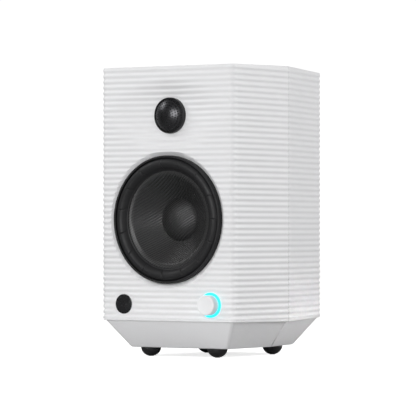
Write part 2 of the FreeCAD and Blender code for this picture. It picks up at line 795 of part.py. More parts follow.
def volume_control(x, z):
    """The knob on its shaft, the lit ring round it, and the encoder it turns and presses."""
    base = "knob_out + knob_skirt"
    node(turned([(0, 0), ("knob_radius - 1", 0), ("knob_radius", 1), ("knob_radius", base),
                 ("shaft_radius", base), ("shaft_radius", "knob_bore"), (0, "knob_bore")],
                x=x, y="front - knob_out", z=z), "volume_knob")
    node(rod(x, "front - knob_out + knob_bore", z, "shaft_radius", "shaft_length"), "volume_shaft")
    plate = "ring_depth - ring_plate"
    node(turned([("knob_radius + fit_gap", 0), ("ring_radius", 0), ("ring_radius", "ring_depth"),
                 ("shaft_radius + 2.5", "ring_depth"), ("shaft_radius + 2.5", plate),
                 ("knob_radius + fit_gap", plate)], x=x, z=z), "light_ring")
    encoder = fuse(rod(x, "front + encoder_depth - 6", z, "bush_radius", 7),
                   block("control_side - encoder_half", "front + encoder_depth",
                         "control_height - encoder_half", "2 * encoder_half", "2 * encoder_half",
                         "2 * encoder_half"))
    shaft_hole = rod(x, "front", z, "shaft_radius + running_gap", 20)
    plunger_hole = rod(x, "front + encoder_depth + 6", z, "plunger_radius + fit_gap", 7.5)
    node(cut(encoder, shaft_hole, plunger_hole), "encoder_body")
    node(fuse(rod(x, "front + plunger_depth", z, "plunger_radius", 1.7),
              rod(x, "front + plunger_depth + 1.2", z, 1, 1.7)), "encoder_plunger")


def front_controls():
    volume_control("control_side", "control_height")
    node(rod("-control_side", "front + window_inset", "control_height", "window_radius",
             "window_thickness"), "ir_window")
    node(block("-control_side - 4", "front + board_depth - 8", "control_height - 5", 8, 8, 10),
         "ir_receiver")
    board = block("-board_half", "front + board_depth", "board_bottom", "2 * board_half", "board",
                  "board_height")
    holes = []
    for x, z in POSTS:
        holes.append(rod(x, "front + board_depth - overlap", z, "small_screw_clear", 4))
    node(cut(board, *holes), "control_board")
    screws("board_screws", POSTS, "front + board_depth + board", (3, 2.2), "small_screw", 11.6)


# ---------------------------------------------------------------- rear panel

PANEL_SCREWS = []
for side in (-1, 1):
    for height in (59.2, 131.0, 202.8):
        PANEL_SCREWS.append((side * sizes["panel_screw_side"], height))
PANEL_BACK = "panel_face - panel_plate"
INLET = (-19.0, 84.0)
ROCKER = (22.0, 84.0)
ROCKER_TILT = 8.0
LINK = (-20.0, 146.0)
BUTTON = (-26.0, 186.0)
LINE_HEIGHT = 186.0
LINES = (("line_input_left", 6.0), ("line_input_right", 28.0))


def centred_block(place, y, half_width, length, half_height):
    """A block along Y whose middle is at (x, z)."""
    return block("%s - (%s)" % (place[0], half_width), y, "%s - (%s)" % (place[1], half_height),
                 "2 * (%s)" % half_width, length, "2 * (%s)" % half_height)


def rear_panel():
    """The metal plate that carries the amplifier and every socket."""
    middle = (0, "(panel_bottom + panel_top) / 2")
    plate = centred_block(middle, PANEL_BACK, "panel_width / 2 - fit_gap", "panel_plate",
                          "(panel_top - panel_bottom) / 2 - fit_gap")
    start = "back - 10"
    holes = [
        centred_block(INLET, start, "inlet_half_width + 0.2", 20, "inlet_half_height + 0.2"),
        centred_block(ROCKER, start, "frame_half_width + 0.2", 20, "frame_half_height + 0.2"),
        rod(LINK[0], start, LINK[1], "link_radius + 0.2", 20),
        rod(BUTTON[0], start, BUTTON[1], "button_bore", 20),
    ]
    for label, x in LINES:
        holes.append(rod(x, start, LINE_HEIGHT, "jack_body + 0.2", 20))
    for x, z in PANEL_SCREWS:
        holes.append(rod(x, start, z, "small_screw_clear", 20))
    node(cut(plate, *holes), "rear_panel")
    screws("panel_screws", PANEL_SCREWS, "panel_face", (3, 1.8), "small_screw", 6.4)


def line_input(label, x):
    """A phono socket: body, collar and barrel with a bore for the plug's pin."""
    z = LINE_HEIGHT
    barrel = fuse(rod(x, PANEL_BACK + " - 8", z, "jack_body", "panel_plate + 8"),
                  rod(x, "panel_face", z, "jack_collar", 1.2),
                  rod(x, "panel_face", z, "jack_barrel", "jack_out + back - panel_face"))
    node(cut(barrel, rod(x, "panel_face", z, "jack_bore", 10)), label)


def link_socket():
    """A round four-pin socket for the lead to the second speaker."""
    x, z = LINK
    socket = fuse(rod(x, PANEL_BACK + " - 9", z, "link_radius", "panel_plate + 9"),
                  rod(x, "panel_face", z, "link_collar", 1.6))
    mouth = rod(x, PANEL_BACK + " - 6", z, "link_mouth", 20)
    pins = []
    for pin_x, pin_z in circle_places(value("link_mouth") - 1, x, z):
        pins.append(rod(pin_x, PANEL_BACK + " - 7", pin_z, 0.5, 6))
    node(fuse(cut(socket, mouth), *pins), "link_socket")


def mains_inlet():
    """A two-pin inlet with a figure-eight mouth."""
    x, z = INLET
    inlet = fuse(centred_block(INLET, PANEL_BACK + " - 14", "inlet_half_width", "panel_plate + 14",
                               "inlet_half_height"),
                 centred_block(INLET, "panel_face", "inlet_half_width + bezel_edge", "bezel",
                               "inlet_half_height + bezel_edge"))
    depth = PANEL_BACK + " - 11"
    lobe = 4.2
    mouth = [centred_block(INLET, depth, 4, 20, 3.3)]
    pins = []
    for side in (-1, 1):
        mouth.append(rod(x + side * lobe, depth, z, 4, 20))
        pins.append(rod(x + side * lobe, depth + " - 1", z, 1.2, 10))
    node(fuse(cut(inlet, *mouth), *pins), "mains_inlet")


def power_switch():
    """The mains rocker, tilted about its pivot, in its frame."""
    x, z = ROCKER
    frame = fuse(centred_block(ROCKER, PANEL_BACK + " - 12", "frame_half_width", "panel_plate + 12",
                               "frame_half_height"),
                 centred_block(ROCKER, "panel_face", "frame_half_width + 1.2", "bezel",
                               "frame_half_height + 1.2"))
    cavity = centred_block(ROCKER, PANEL_BACK + " - 9", "frame_half_width - frame_wall", 20,
                           "frame_half_height - frame_wall")
    tabs = [block(x - 3, PANEL_BACK + " - 18", z + step, 6, 6.5, 0.8) for step in (-6, 6)]
    node(fuse(cut(frame, cavity), *tabs), "rocker_frame")

    pivot = value("panel_face") - value("rocker_pivot")
    half_width = value("rocker_half_width")
    half_height = value("rocker_half_height")
    profile = []
    for depth, lift in ((-1.5, -1), (-1.5, 1), (4.2, 1), (2.8, 0), (4.2, -1), (-1.5, -1)):
        profile.append(Vector(x - half_width, pivot + depth, z + lift * half_height))
    rocker = Part.Face(Part.makePolygon(profile)).extrude(Vector(2 * half_width, 0, 0))
    rocker.rotate(Vector(x, pivot, z), Vector(1, 0, 0), ROCKER_TILT)
    node(feature(rocker), "power_rocker")


def pair_button():
    """The round pairing button in its housing."""
    x, z = BUTTON
    housing = rod(x, PANEL_BACK + " - 7", z, 5.5, 7)
    node(cut(housing, rod(x, PANEL_BACK + " - 5", z, "button_bore", 20)), "button_housing")
    node(rod(x, PANEL_BACK + " - 3", z, "button_radius", "panel_plate + 4.2"), "pair_button")


# ---------------------------------------------------------------- inside

def electronics():
    """Heat sink, amplifier board with its standoffs, and the mains transformer."""
    base = block("-sink_half", PANEL_BACK + " - sink_base", "sink_bottom", "2 * sink_half", "sink_base",
                 "sink_height")
    fins = []
    for index in range(7):
        fins.append(block("-sink_half + %d * (2 * sink_half - fin) / 6" % index,
                          PANEL_BACK + " - sink_base + overlap - fin_length", "sink_bottom", "fin",
                          "fin_length", "sink_height"))
    node(fuse(base, *fins), "heat_sink")
    standoffs = []
    for x in ("amplifier_half - 4", "4 - amplifier_half"):
        for z in ("amplifier_bottom + 6", "amplifier_bottom + amplifier_height - 6"):
            standoffs.append(rod(x, PANEL_BACK + " - standoff_length", z, "standoff_radius",
                                 "standoff_length"))
    node(group(*standoffs), "board_standoffs")
    node(block("-amplifier_half", PANEL_BACK + " - standoff_length - board", "amplifier_bottom",
               "2 * amplifier_half", "board", "amplifier_height"), "amplifier_board")
    transformer("body_bottom + floor_thickness")


def transformer(floor):
    """A square core round a block of winding, on the cabinet's floor."""
    y = "front + core_depth"
    width = "2 * core_half"
    core = fuse(block("-core_half", y, floor, width, "core_length", "core_limb"),
                block("-core_half", y, floor, "core_limb", "core_length", "core_height"),
                block("core_half - core_limb", y, floor, "core_limb", "core_length", "core_height"),
                block("-core_half", y, floor + " + core_height - core_limb", width, "core_length",
                      "core_limb"))
    node(core, "transformer_core")
    node(block("-winding_half", y + " - winding_over", floor + " + core_limb + 0.2", "2 * winding_half",
               "core_length + 2 * winding_over", "core_height - 2 * core_limb - 0.4"),
         "transformer_winding")


def port_tube():
    """A straight tube with a flare that covers the edge of its hole."""
    inner = "port_radius"
    end = "port_length"
    outline = [(inner, 0), (inner + " + port_skin", 0), (inner + " + port_skin", end),
               (inner + " + 8", end), (inner + " + 7", end + " + 2"), (inner + " + 5", end + " + 2"),
               (inner + " + 2", end + " + 1"), (inner + " + 1", end + " - 0.5"), (inner, end + " - 4")]
    node(turned(outline, y="back - port_length", z="port_height"), "port_tube")


def damping_pads():
    """A foam pad on the inside of each side wall."""
    sides = []
    for x in ("-foam_out", "foam_out - foam_thickness"):
        sides.append(block(x, "front + foam_depth", "foam_bottom", "foam_thickness", "foam_length",
                           "foam_height"))
    node(group(*sides), "damping_pads")


# ---------------------------------------------------------------- build, check and write

body = cabinet()
front_shell(body)
rear_shell(body)
seam_gasket()
screws("shell_screws", SHELL_SCREWS, "front + seam + seam_gap / 2 + ear_thickness", (3.6, 3), "screw", 18)
feet()
woofer()
tweeter()
front_controls()
rear_panel()
for label, x in LINES:
    line_input(label, x)
link_socket()
mains_inlet()
power_switch()
pair_button()
electronics()
port_tube()
damping_pads()
doc.recompute()

for item in doc.Objects:
    if "Invalid" in item.State or "Error" in item.State:
        raise RuntimeError("%s did not build: %s" % (item.Name, item.State))
for item in nodes:
    if item.Shape.isNull() or not item.Shape.isValid():
        raise RuntimeError("%s has no valid shape" % item.Label)

os.makedirs("parts", exist_ok=True)
for item in nodes:
    item.Shape.exportStep(os.path.join("parts", item.Label + ".step"))
    box = item.Shape.BoundBox
    print("%-20s %9.1f mm3  %d solids  y %7.1f %7.1f  z %6.1f %6.1f" % (
        item.Label, item.Shape.Volume, len(item.Shape.Solids), box.YMin, box.YMax, box.ZMin, box.ZMax))
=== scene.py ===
"""The looks of the bookshelf speaker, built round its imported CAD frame. Metres, +Z up, front towards -Y."""
import json
import math
import random

import bmesh
import bpy
import numpy as np
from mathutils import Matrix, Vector


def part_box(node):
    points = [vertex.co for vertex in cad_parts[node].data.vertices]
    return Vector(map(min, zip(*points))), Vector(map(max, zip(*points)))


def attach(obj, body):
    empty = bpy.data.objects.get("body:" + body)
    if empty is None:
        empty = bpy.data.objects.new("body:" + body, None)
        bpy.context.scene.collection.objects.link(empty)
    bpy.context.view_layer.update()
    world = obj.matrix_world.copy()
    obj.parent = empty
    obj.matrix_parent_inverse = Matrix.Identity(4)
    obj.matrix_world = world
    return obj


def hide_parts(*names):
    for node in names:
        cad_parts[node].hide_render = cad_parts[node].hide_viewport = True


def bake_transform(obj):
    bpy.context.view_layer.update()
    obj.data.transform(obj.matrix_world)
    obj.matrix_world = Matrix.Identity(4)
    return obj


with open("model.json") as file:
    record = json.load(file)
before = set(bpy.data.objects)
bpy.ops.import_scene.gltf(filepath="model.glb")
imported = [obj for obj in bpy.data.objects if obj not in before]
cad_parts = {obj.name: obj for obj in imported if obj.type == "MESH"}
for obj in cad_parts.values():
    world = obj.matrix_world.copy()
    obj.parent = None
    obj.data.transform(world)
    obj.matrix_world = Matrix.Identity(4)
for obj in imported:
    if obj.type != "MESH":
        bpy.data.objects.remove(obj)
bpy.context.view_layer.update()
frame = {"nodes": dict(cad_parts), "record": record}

MM = 0.001
TURN = 2 * math.pi

# ---------------------------------------------------------------- places, from the frame


def middle(node):
    """The centre of a CAD node's box."""
    low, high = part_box(node)
    return (low + high) / 2


def half_width(node):
    """Half of a CAD node's width: the radius of a round one."""
    low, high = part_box(node)
    return (high.x - low.x) / 2


SHELL_LOW, SHELL_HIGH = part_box("front_shell")
GASKET_LOW, GASKET_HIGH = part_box("seam_gasket")
FRONT = SHELL_LOW.y
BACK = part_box("rear_shell")[1].y
HALF_WIDTH = SHELL_HIGH.x
HALF_BACK = 61.5 * MM  # half of the back's width
TURN_Y = FRONT + 118 * MM  # where the sides turn inwards towards the back
CROWN = 2.1 * MM  # how far the top and the underside swell at the seam
BODY_TOP = SHELL_HIGH.z - CROWN
BODY_BOTTOM = GASKET_LOW.z - 1 * MM
CORNER = 7.5 * MM
WALL = 6 * MM
PAD_DEPTH = 10 * MM  # the thicker front wall that carries the drivers
INNER_CORNER = 1.5 * MM
CUT_MARGIN = 5 * MM  # how far a cutting solid stands out past the shells

SKIRT_BOTTOM = SHELL_LOW.z
SKIRT_STEP = 3.3 * MM  # the skirt's inset where it meets the body
SKIRT_TAPER = 24.6 * MM  # its inset at the lower edge
SKIRT_BACK_TAPER = 38.6 * MM  # the same at the back
SKIRT_CORNER = 4.5 * MM
SKIRT_WALL = 4 * MM

RIBS = 45
RIB_PITCH = (BODY_TOP - BODY_BOTTOM) / RIBS
RIB_DEPTH = 1.1 * MM
ROWS_PER_RIB = 12
RIB_FADE_START = 1 * MM  # the ribs begin this far outside a small round part
RIB_FADE = 4 * MM
EDGE_ROWS = ((0.0, 1.3), (0.05, 0.85), (0.15, 0.62), (0.35, 0.55), (0.7, 0.55))

WOOFER = middle("woofer_rim")
WOOFER_RADIUS = half_width("woofer_rim")
BEVEL_RADIUS = 79.3 * MM
BEVEL_DEPTH = 5.5 * MM
TWEETER = middle("tweeter_rim")
TWEETER_RADIUS = half_width("tweeter_rim")
DISH_DEPTH = 8.5 * MM
DISH_HALF_WIDTH = 82 * MM
DISH_HALF_HEIGHT = 44 * MM
KNOB = middle("volume_knob")
WINDOW = middle("ir_window")
PORT = middle("port_tube")


def depths(node):
    """A CAD node's front and back, in mm behind the front plane."""
    low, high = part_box(node)
    return (low.y - FRONT) / MM, (high.y - FRONT) / MM


# ---------------------------------------------------------------- mesh helpers


def linked(name, data):
    """A new object with this data, in the scene."""
    item = bpy.data.objects.new(name, data)
    bpy.context.scene.collection.objects.link(item)
    return item


def mesh_object(name, vertices, faces):
    """A new object from points and faces, with its normals facing out."""
    mesh = bpy.data.meshes.new(name)
    mesh.from_pydata([tuple(map(float, v)) for v in vertices], [], [tuple(map(int, f)) for f in faces])
    edit = bmesh.new()
    edit.from_mesh(mesh)
    bmesh.ops.recalc_face_normals(edit, faces=edit.faces)
    edit.to_mesh(mesh)
    edit.free()
    return linked(name, mesh)


def stacked(name, loops, closed=False):
    """A closed solid through loops of the same length. closed joins the last loop to the first,
    and otherwise each end is capped by a fan round its middle."""
    count = len(loops[0])
    vertices = np.concatenate([np.asarray(loop, float) for loop in loops])
    faces = []
    pairs = len(loops) if closed else len(loops) - 1
    for row in range(pairs):
        low = row * count
        high = (row + 1) % len(loops) * count
        for column in range(count):
            after = (column + 1) % count
            faces.append((low + column, low + after, high + after, high + column))
    if not closed:
        for start in (0, (len(loops) - 1) * count):
            centre = vertices[start:start + count].mean(0)
            vertices = np.vstack([vertices, centre])
            hub = len(vertices) - 1
            faces += [(start + column, start + (column + 1) % count, hub) for column in range(count)]
    return mesh_object(name, vertices, faces)


def circle(centre, radius, depth, count):
    """Points round an axis along Y, at a depth behind the front plane."""
    angles = np.arange(count) * TURN / count
    return np.column_stack([centre.x + radius * np.cos(angles), np.full(count, FRONT + depth),
                            centre.z + radius * np.sin(angles)])


def rounded(outline, radius, steps=5):
    """A closed outline of (radius, depth) corners in mm, each corner turned into a small arc."""
    points = []
    count = len(outline)
    for index in range(count):
        corner = Vector(outline[index])
        before = Vector(outline[index - 1]) - corner
        after = Vector(outline[(index + 1) % count]) - corner
        reach = min(radius, before.length * 0.45, after.length * 0.45)
        start = corner + before.normalized() * reach
        end = corner + after.normalized() * reach
        for step in range(steps + 1):
            share = step / steps
            points.append(start.lerp(corner, share).lerp(corner.lerp(end, share), share))
    return points


def ring(name, outline, centre, radius=0.4, count=128):
    """A turned ring from a closed outline of (radius, depth) corners in mm, with softened edges."""
    loops = [circle(centre, p[0] * MM, p[1] * MM, count) for p in rounded(outline, radius)]
    return stacked(name, loops, closed=True)


def band(outer, width, start, end):
    """A rectangular ring section in mm, for ring()."""
    return [(outer - width, start), (outer, start), (outer, end), (outer - width, end)]


def turned_solid(name, profile, centre, count=96):
    """A turned solid that starts and ends near its axis, from (radius, depth) points in mm."""
    least = 0.02
    return stacked(name, [circle(centre, max(p[0], least) * MM, p[1] * MM, count) for p in profile])


def dome(base, rise, depth, steps=14):
    """Points in mm over a spherical cap that bulges forward, from its crest to its edge at depth."""
    radius = (base ** 2 + rise ** 2) / (2 * rise)
    half_angle = math.asin(base / radius)
    points = []
    for step in range(steps + 1):
        angle = half_angle * step / steps
        points.append((radius * math.sin(angle), depth - rise + radius * (1 - math.cos(angle))))
    return points


def box_solid(name, low, high):
    """A plain box, used to cut with."""
    loops = []
    for z in (low[2], high[2]):
        loops.append([(low[0], low[1], z), (high[0], low[1], z), (high[0], high[1], z), (low[0], high[1], z)])
    return stacked(name, loops)


def carve(item, tools, operation="DIFFERENCE"):
    """Cut tools out of a solid, or join them to it, and remove them."""
    for tool in tools:
        step = item.modifiers.new("carve", "BOOLEAN")
        step.operation = operation
        step.object = tool
        step.solver = "MANIFOLD"
    graph = bpy.context.evaluated_depsgraph_get()
    carved = bpy.data.meshes.new_from_object(item.evaluated_get(graph))
    item.modifiers.clear()
    item.data = carved
    for tool in tools:
        bpy.data.objects.remove(tool)
    return item


def finished(item, body, slot, *nodes, sharp=38, material=None):
    """Shade a piece, give it its slot's finish and its body, and let it stand for its CAD nodes.
    Without a body the piece is left unattached."""
    item.data.shade_smooth()
    item.data.set_sharp_from_angle(angle=math.radians(sharp))
    item.data.materials.clear()
    item.data.materials.append(material or FINISHES[slot])
    if body:
        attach(item, body)
    if nodes:
        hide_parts(*nodes)


# ---------------------------------------------------------------- materials

NOISE_LOW = 0.3  # a noise texture rarely leaves this range
NOISE_HIGH = 0.7
STRIPE_ANGLE = math.radians(35)
STRIPE_PITCH = 2.65 * MM
THREAD_PITCH = 0.7 * MM
WAVE_SCALE = 3.2  # wave texture bands in one unit of its scale


class Finish:
    """A node material: a Principled shader and short ways to drive its sockets."""

    def __init__(self, name, color, roughness, **sockets):
        self.material = bpy.data.materials.new(name)
        self.material.use_nodes = True
        self.tree = self.material.node_tree
        self.shader = self.tree.nodes["Principled BSDF"]
        self.shader.inputs["Base Color"].default_value = (*color, 1)
        self.shader.inputs["Roughness"].default_value = roughness
        for socket, number in sockets.items():
            self.shader.inputs[socket.replace("_", " ")].default_value = number
        self.coordinates = self.tree.nodes.new("ShaderNodeTexCoord").outputs["Object"]
        self.normal = None

    def node(self, kind, links=None, **settings):
        """Add a node, set its sockets or properties by name, and link sources to its sockets."""
        made = self.tree.nodes.new("ShaderNode" + kind)
        for name, setting in settings.items():
            if name in made.inputs:
                made.inputs[name].default_value = setting
            else:
                setattr(made, name, setting)
        for name, source in (links or {}).items():
            self.tree.links.new(source, made.inputs[name])
        return made

    def noise(self, scale, detail=3.0, roughness=0.55):
        made = self.node("TexNoise", {"Vector": self.coordinates}, Scale=scale, Detail=detail,
                         Roughness=roughness)
        return made.outputs[0]

    def between(self, factor, low, high):
        """Map the usual range of a noise onto low to high."""
        made = self.node("MapRange", {"Value": factor})
        made.inputs["From Min"].default_value = NOISE_LOW
        made.inputs["From Max"].default_value = NOISE_HIGH
        made.inputs["To Min"].default_value = low
        made.inputs["To Max"].default_value = high
        return made.outputs[0]

    def colours(self, factor, dark, light):
        """Drive the base colour between two colours."""
        ramp = self.node("ValToRGB", {"Fac": factor})
        for element, position, color in zip(ramp.color_ramp.elements, (NOISE_LOW, NOISE_HIGH), (dark, light)):
            element.position = position
            element.color = (*color, 1)
        self.tree.links.new(ramp.outputs[0], self.shader.inputs["Base Color"])

    def rough(self, factor, low, high):
        """Drive the roughness between two numbers."""
        self.tree.links.new(self.between(factor, low, high), self.shader.inputs["Roughness"])

    def bump(self, height, distance, strength=1.0):
        """Raise the surface by a height; calls add up."""
        links = {"Height": height}
        if self.normal is not None:
            links["Normal"] = self.normal
        made = self.node("Bump", links, Distance=distance, Strength=strength)
        self.normal = made.outputs[0]
        self.tree.links.new(self.normal, self.shader.inputs["Normal"])


def speckled(name, color, roughness, grain=1500.0, depth=0.00003, spread=0.1, tone=0.04, **sockets):
    """A moulded or coated surface: slow tone changes, uneven gloss and a fine grain."""
    finish = Finish(name, color, roughness, **sockets)
    dark = tuple(c * (1 - tone) for c in color)
    light = tuple(min(1.0, c * (1 + tone)) for c in color)
    finish.colours(finish.noise(35.0), dark, light)
    finish.rough(finish.noise(220.0), roughness - spread / 2, roughness + spread / 2)
    finish.bump(finish.noise(grain, 2.0), depth)
    return finish


def striped_fibre():
    """Lacquered twill: the mesh carries the ridges. Their crests are smoother than the valleys and painted
    a little lighter as a painted highlight, the valleys painted darker as painted shade, and fine threads
    cross them."""
    finish = Finish("cone_fibre", (0.03, 0.03, 0.032), 0.42, Specular_IOR_Level=0.65)
    turned = finish.node("Mapping", {"Vector": finish.coordinates})
    turned.inputs["Rotation"].default_value = (0, STRIPE_ANGLE, 0)
    split = finish.node("SeparateXYZ", {"Vector": turned.outputs[0]})
    scaled = finish.node("Math", {0: split.outputs["Z"]}, operation="MULTIPLY")
    scaled.inputs[1].default_value = TURN / STRIPE_PITCH
    wave = finish.node("Math", {0: scaled.outputs[0]}, operation="COSINE")
    crest_highlight_and_gloss = finish.node("MapRange", {"Value": wave.outputs[0]})
    crest_highlight_and_gloss.inputs["From Min"].default_value = -1.0
    threads = finish.node("Math", {0: split.outputs["X"]}, operation="MULTIPLY")
    threads.inputs[1].default_value = TURN / THREAD_PITCH
    thread_wave = finish.node("Math", {0: threads.outputs[0]}, operation="SINE")
    # painted highlight and painted shade: the base colour is lighter on the twill crests and darker in the
    # valleys
    finish.colours(crest_highlight_and_gloss.outputs[0], (0.0, 0.0, 0.0), (0.02, 0.02, 0.021))
    finish.rough(crest_highlight_and_gloss.outputs[0], 0.6, 0.22)
    finish.bump(thread_wave.outputs[0], 0.00004, 0.6)
    finish.bump(finish.noise(900.0), 0.00003)
    return finish


def lamp_plastic():
    """The ring's clear plastic, lit from behind a little unevenly."""
    finish = Finish("lamp_plastic", (0.05, 0.75, 0.85), 0.35)
    finish.shader.inputs["Emission Color"].default_value = (0.0, 0.85, 1.0, 1)
    glow = finish.between(finish.noise(60.0), 0.9, 1.1)
    finish.tree.links.new(glow, finish.shader.inputs["Emission Strength"])
    return finish


def brushed(name, color, roughness, axis=2):
    """Machined or plated metal with fine lines across one axis."""
    finish = speckled(name, color, roughness, grain=900.0, depth=0.00001, Metallic=1.0)
    stretched = finish.node("Mapping", {"Vector": finish.coordinates})
    scale = [40.0, 40.0, 40.0]
    scale[axis] = 4000.0
    stretched.inputs["Scale"].default_value = scale
    lines = finish.node("TexNoise", {"Vector": stretched.outputs[0]}, Scale=1.0, Detail=2.0)
    finish.bump(lines.outputs[0], 0.00001)
    return finish


def wound(name, color, pitch):
    """Enamelled wire laid in turns along Z."""
    finish = speckled(name, color, 0.35, Metallic=0.9)
    turns = finish.node("TexWave", {"Vector": finish.coordinates}, bands_direction="Z",
                        Scale=1 / pitch / WAVE_SCALE, Distortion=0.3)
    finish.bump(turns.outputs["Fac"], pitch * 0.4)
    return finish


def woven(name, dark, light, pitch, roughness=0.85):
    """Cloth: two crossed sets of threads."""
    finish = Finish(name, dark, roughness)
    for direction in ("X", "Z"):
        threads = finish.node("TexWave", {"Vector": finish.coordinates}, bands_direction=direction,
                              Scale=1 / pitch / WAVE_SCALE, Distortion=0.6)
        finish.bump(threads.outputs["Fac"], pitch * 0.25)
    finish.colours(finish.noise(250.0), dark, light)
    finish.rough(finish.noise(500.0), roughness - 0.08, roughness + 0.08)
    return finish


def cellular(name, dark, light):
    """Open foam."""
    finish = Finish(name, dark, 0.95)
    cells = finish.node("TexVoronoi", {"Vector": finish.coordinates}, Scale=700.0)
    finish.bump(cells.outputs["Distance"], 0.0006)
    finish.colours(finish.noise(300.0), dark, light)
    return finish


def solder_mask():
    """A circuit board: a green mask with slightly raised copper areas showing as blocks."""
    finish = speckled("circuit_board", (0.02, 0.12, 0.06), 0.3)
    areas = finish.node("TexVoronoi", {"Vector": finish.coordinates}, Scale=90.0, distance="MANHATTAN")
    finish.colours(areas.outputs["Distance"], (0.03, 0.16, 0.08), (0.01, 0.07, 0.035))
    finish.bump(areas.outputs["Distance"], 0.00003)
    return finish


FINISHES = {
    "white_plastic": speckled("white_plastic", (0.80, 0.80, 0.81), 0.42, tone=0.008),
    "knob_plastic": speckled("knob_plastic", (0.82, 0.82, 0.83), 0.38, tone=0.008),
    "lamp_plastic": lamp_plastic(),
    "black_rubber": speckled("black_rubber", (0.010, 0.010, 0.011), 0.5, grain=2500.0, tone=0.12,
                             Specular_IOR_Level=0.35),
    "cone_fibre": striped_fibre(),
    "grille_metal": speckled("grille_metal", (0.06, 0.06, 0.063), 0.28, grain=3000.0, depth=0.00001,
                             Metallic=1.0),
    "window_plastic": speckled("window_plastic", (0.008, 0.008, 0.009), 0.25, depth=0.00001,
                               Specular_IOR_Level=0.35),
    "black_plastic": speckled("black_plastic", (0.010, 0.010, 0.011), 0.5, Specular_IOR_Level=0.4),
    "basket_metal": speckled("basket_metal", (0.04, 0.04, 0.043), 0.5, grain=1200.0, Metallic=0.4),
    "steel": brushed("steel", (0.55, 0.56, 0.57), 0.35),
    "ferrite": speckled("ferrite", (0.05, 0.05, 0.053), 0.7, grain=1800.0, depth=0.00008),
    "copper": wound("copper", (0.62, 0.27, 0.13), 0.4 * MM),
    "former_paper": speckled("former_paper", (0.42, 0.28, 0.15), 0.85, grain=1000.0, tone=0.1),
    "spider_fabric": woven("spider_fabric", (0.50, 0.31, 0.10), (0.62, 0.41, 0.15), 0.9 * MM),
    "dome_fabric": woven("dome_fabric", (0.02, 0.02, 0.022), (0.035, 0.035, 0.038), 0.4 * MM, 0.6),
    "foam": cellular("foam", (0.05, 0.05, 0.055), (0.09, 0.09, 0.095)),
    "circuit_board": solder_mask(),
    "panel_metal": speckled("panel_metal", (0.022, 0.022, 0.024), 0.5, grain=1100.0, depth=0.00006,
                            Metallic=0.3),
    "jack_metal": brushed("jack_metal", (0.90, 0.62, 0.22), 0.25),
    "heat_sink_metal": brushed("heat_sink_metal", (0.16, 0.16, 0.17), 0.4, axis=0),
}
FINISHES = {slot: finish.material for slot, finish in FINISHES.items()}
INSERT_RED = speckled("insert_red", (0.45, 0.02, 0.02), 0.4).material
INSERT_WHITE = speckled("insert_white", (0.75, 0.75, 0.73), 0.4).material


def paint_frame():
    """Give every CAD node that shows its slot's material."""
    for part in frame["record"]["subparts"]:
        for place in frame["nodes"][part["node"]].material_slots:
            place.material = FINISHES[part["material_slot"]]


# ---------------------------------------------------------------- cabinet


def plan_corners(inset, back_inset):
    """The plan's six corners from above, moved inwards, from the front left one round by the right."""
    extra = back_inset - inset
    half_back = HALF_BACK + extra * (HALF_WIDTH - HALF_BACK) / (BACK - TURN_Y)
    back = BACK - extra
    outer = [Vector((-HALF_WIDTH, FRONT)), Vector((HALF_WIDTH, FRONT)), Vector((HALF_WIDTH, TURN_Y)),
             Vector((half_back, back)), Vector((-half_back, back)), Vector((-HALF_WIDTH, TURN_Y))]
    moved = []
    for index, corner in enumerate(outer):
        arriving = (corner - outer[index - 1]).normalized()
        leaving = (outer[(index + 1) % 6] - corner).normalized()
        normals = Vector((-arriving.y, arriving.x)), Vector((-leaving.y, leaving.x))
        moved.append(corner + (normals[0] + normals[1]) * (inset / (1 + normals[0].dot(normals[1]))))
    return moved


def corner_arc(inset, radius, index, steps, back_inset):
    """A rounded corner of the plan as (x, y, outward x, outward y)."""
    corners = plan_corners(inset, back_inset)
    corner = corners[index]
    before = (corners[index - 1] - corner).normalized()
    after = (corners[(index + 1) % 6] - corner).normalized()
    half_angle = before.angle(after) / 2
    centre = corner + (before + after).normalized() * (radius / math.sin(half_angle))
    start = -Vector((-before.y, before.x))
    sweep = math.pi - 2 * half_angle
    first = math.atan2(start.y, start.x)
    if (corner + before * (radius / math.tan(half_angle)) - centre).normalized().dot(start) < 0:
        first += math.pi
    points = []
    for step in range(steps + 1):
        angle = first + sweep * step / steps
        normal = (math.cos(angle), math.sin(angle))
        points.append((centre.x + radius * normal[0], centre.y + radius * normal[1], *normal))
    return points


def front_columns(inset, radius, seam, runs=1, steps=8):
    """The front shell's outline: left side, front, right side, up to the seam."""
    left = corner_arc(inset, radius, 0, steps, inset)
    right = corner_arc(inset, radius, 1, steps, inset)
    across = []
    for step in range(1, runs):
        share = step / runs
        across.append((left[-1][0] + (right[0][0] - left[-1][0]) * share, left[-1][1], 0.0, -1.0))
    side = HALF_WIDTH - inset
    return np.array([(-side, seam, -1.0, 0.0)] + left + across + right + [(side, seam, 1.0, 0.0)])


def rear_columns(inset, radius, seam, back_inset, steps=8):
    """The rear shell's outline: right side from the seam, back, left side."""
    side = HALF_WIDTH - inset
    points = [(side, seam, 1.0, 0.0)]
    for index, count in ((2, 4), (3, steps), (4, steps), (5, 4)):
        points += corner_arc(inset, radius, index, count, back_inset)
    return np.array(points + [(-side, seam, -1.0, 0.0)])


def rib_wave(z):
    """How far the ribbed surface lies behind its crests at a height."""
    return RIB_DEPTH * (1 + math.cos(TURN * (z - BODY_BOTTOM) / RIB_PITCH)) / 2


def crown_rise(y):
    """How much higher the top is than at the front and the back: most at the seam."""
    seam = (GASKET_LOW.y + GASKET_HIGH.y) / 2
    return CROWN * np.where(y < seam, (y - FRONT) / (seam - FRONT), (BACK - y) / (BACK - seam))


def dish_depth(x, z):
    """The waveguide's depth: level at the tweeter's rim and fading out along an ellipse."""
    across = x - TWEETER.x
    upward = z - TWEETER.z
    radius = np.maximum(np.hypot(across, upward), 1e-6)
    reach = radius / np.hypot(across / DISH_HALF_WIDTH, upward / DISH_HALF_HEIGHT)
    share = np.clip((radius - TWEETER_RADIUS) / (reach - TWEETER_RADIUS), 0, 1)
    return DISH_DEPTH * (1 + np.cos(math.pi * share)) / 2


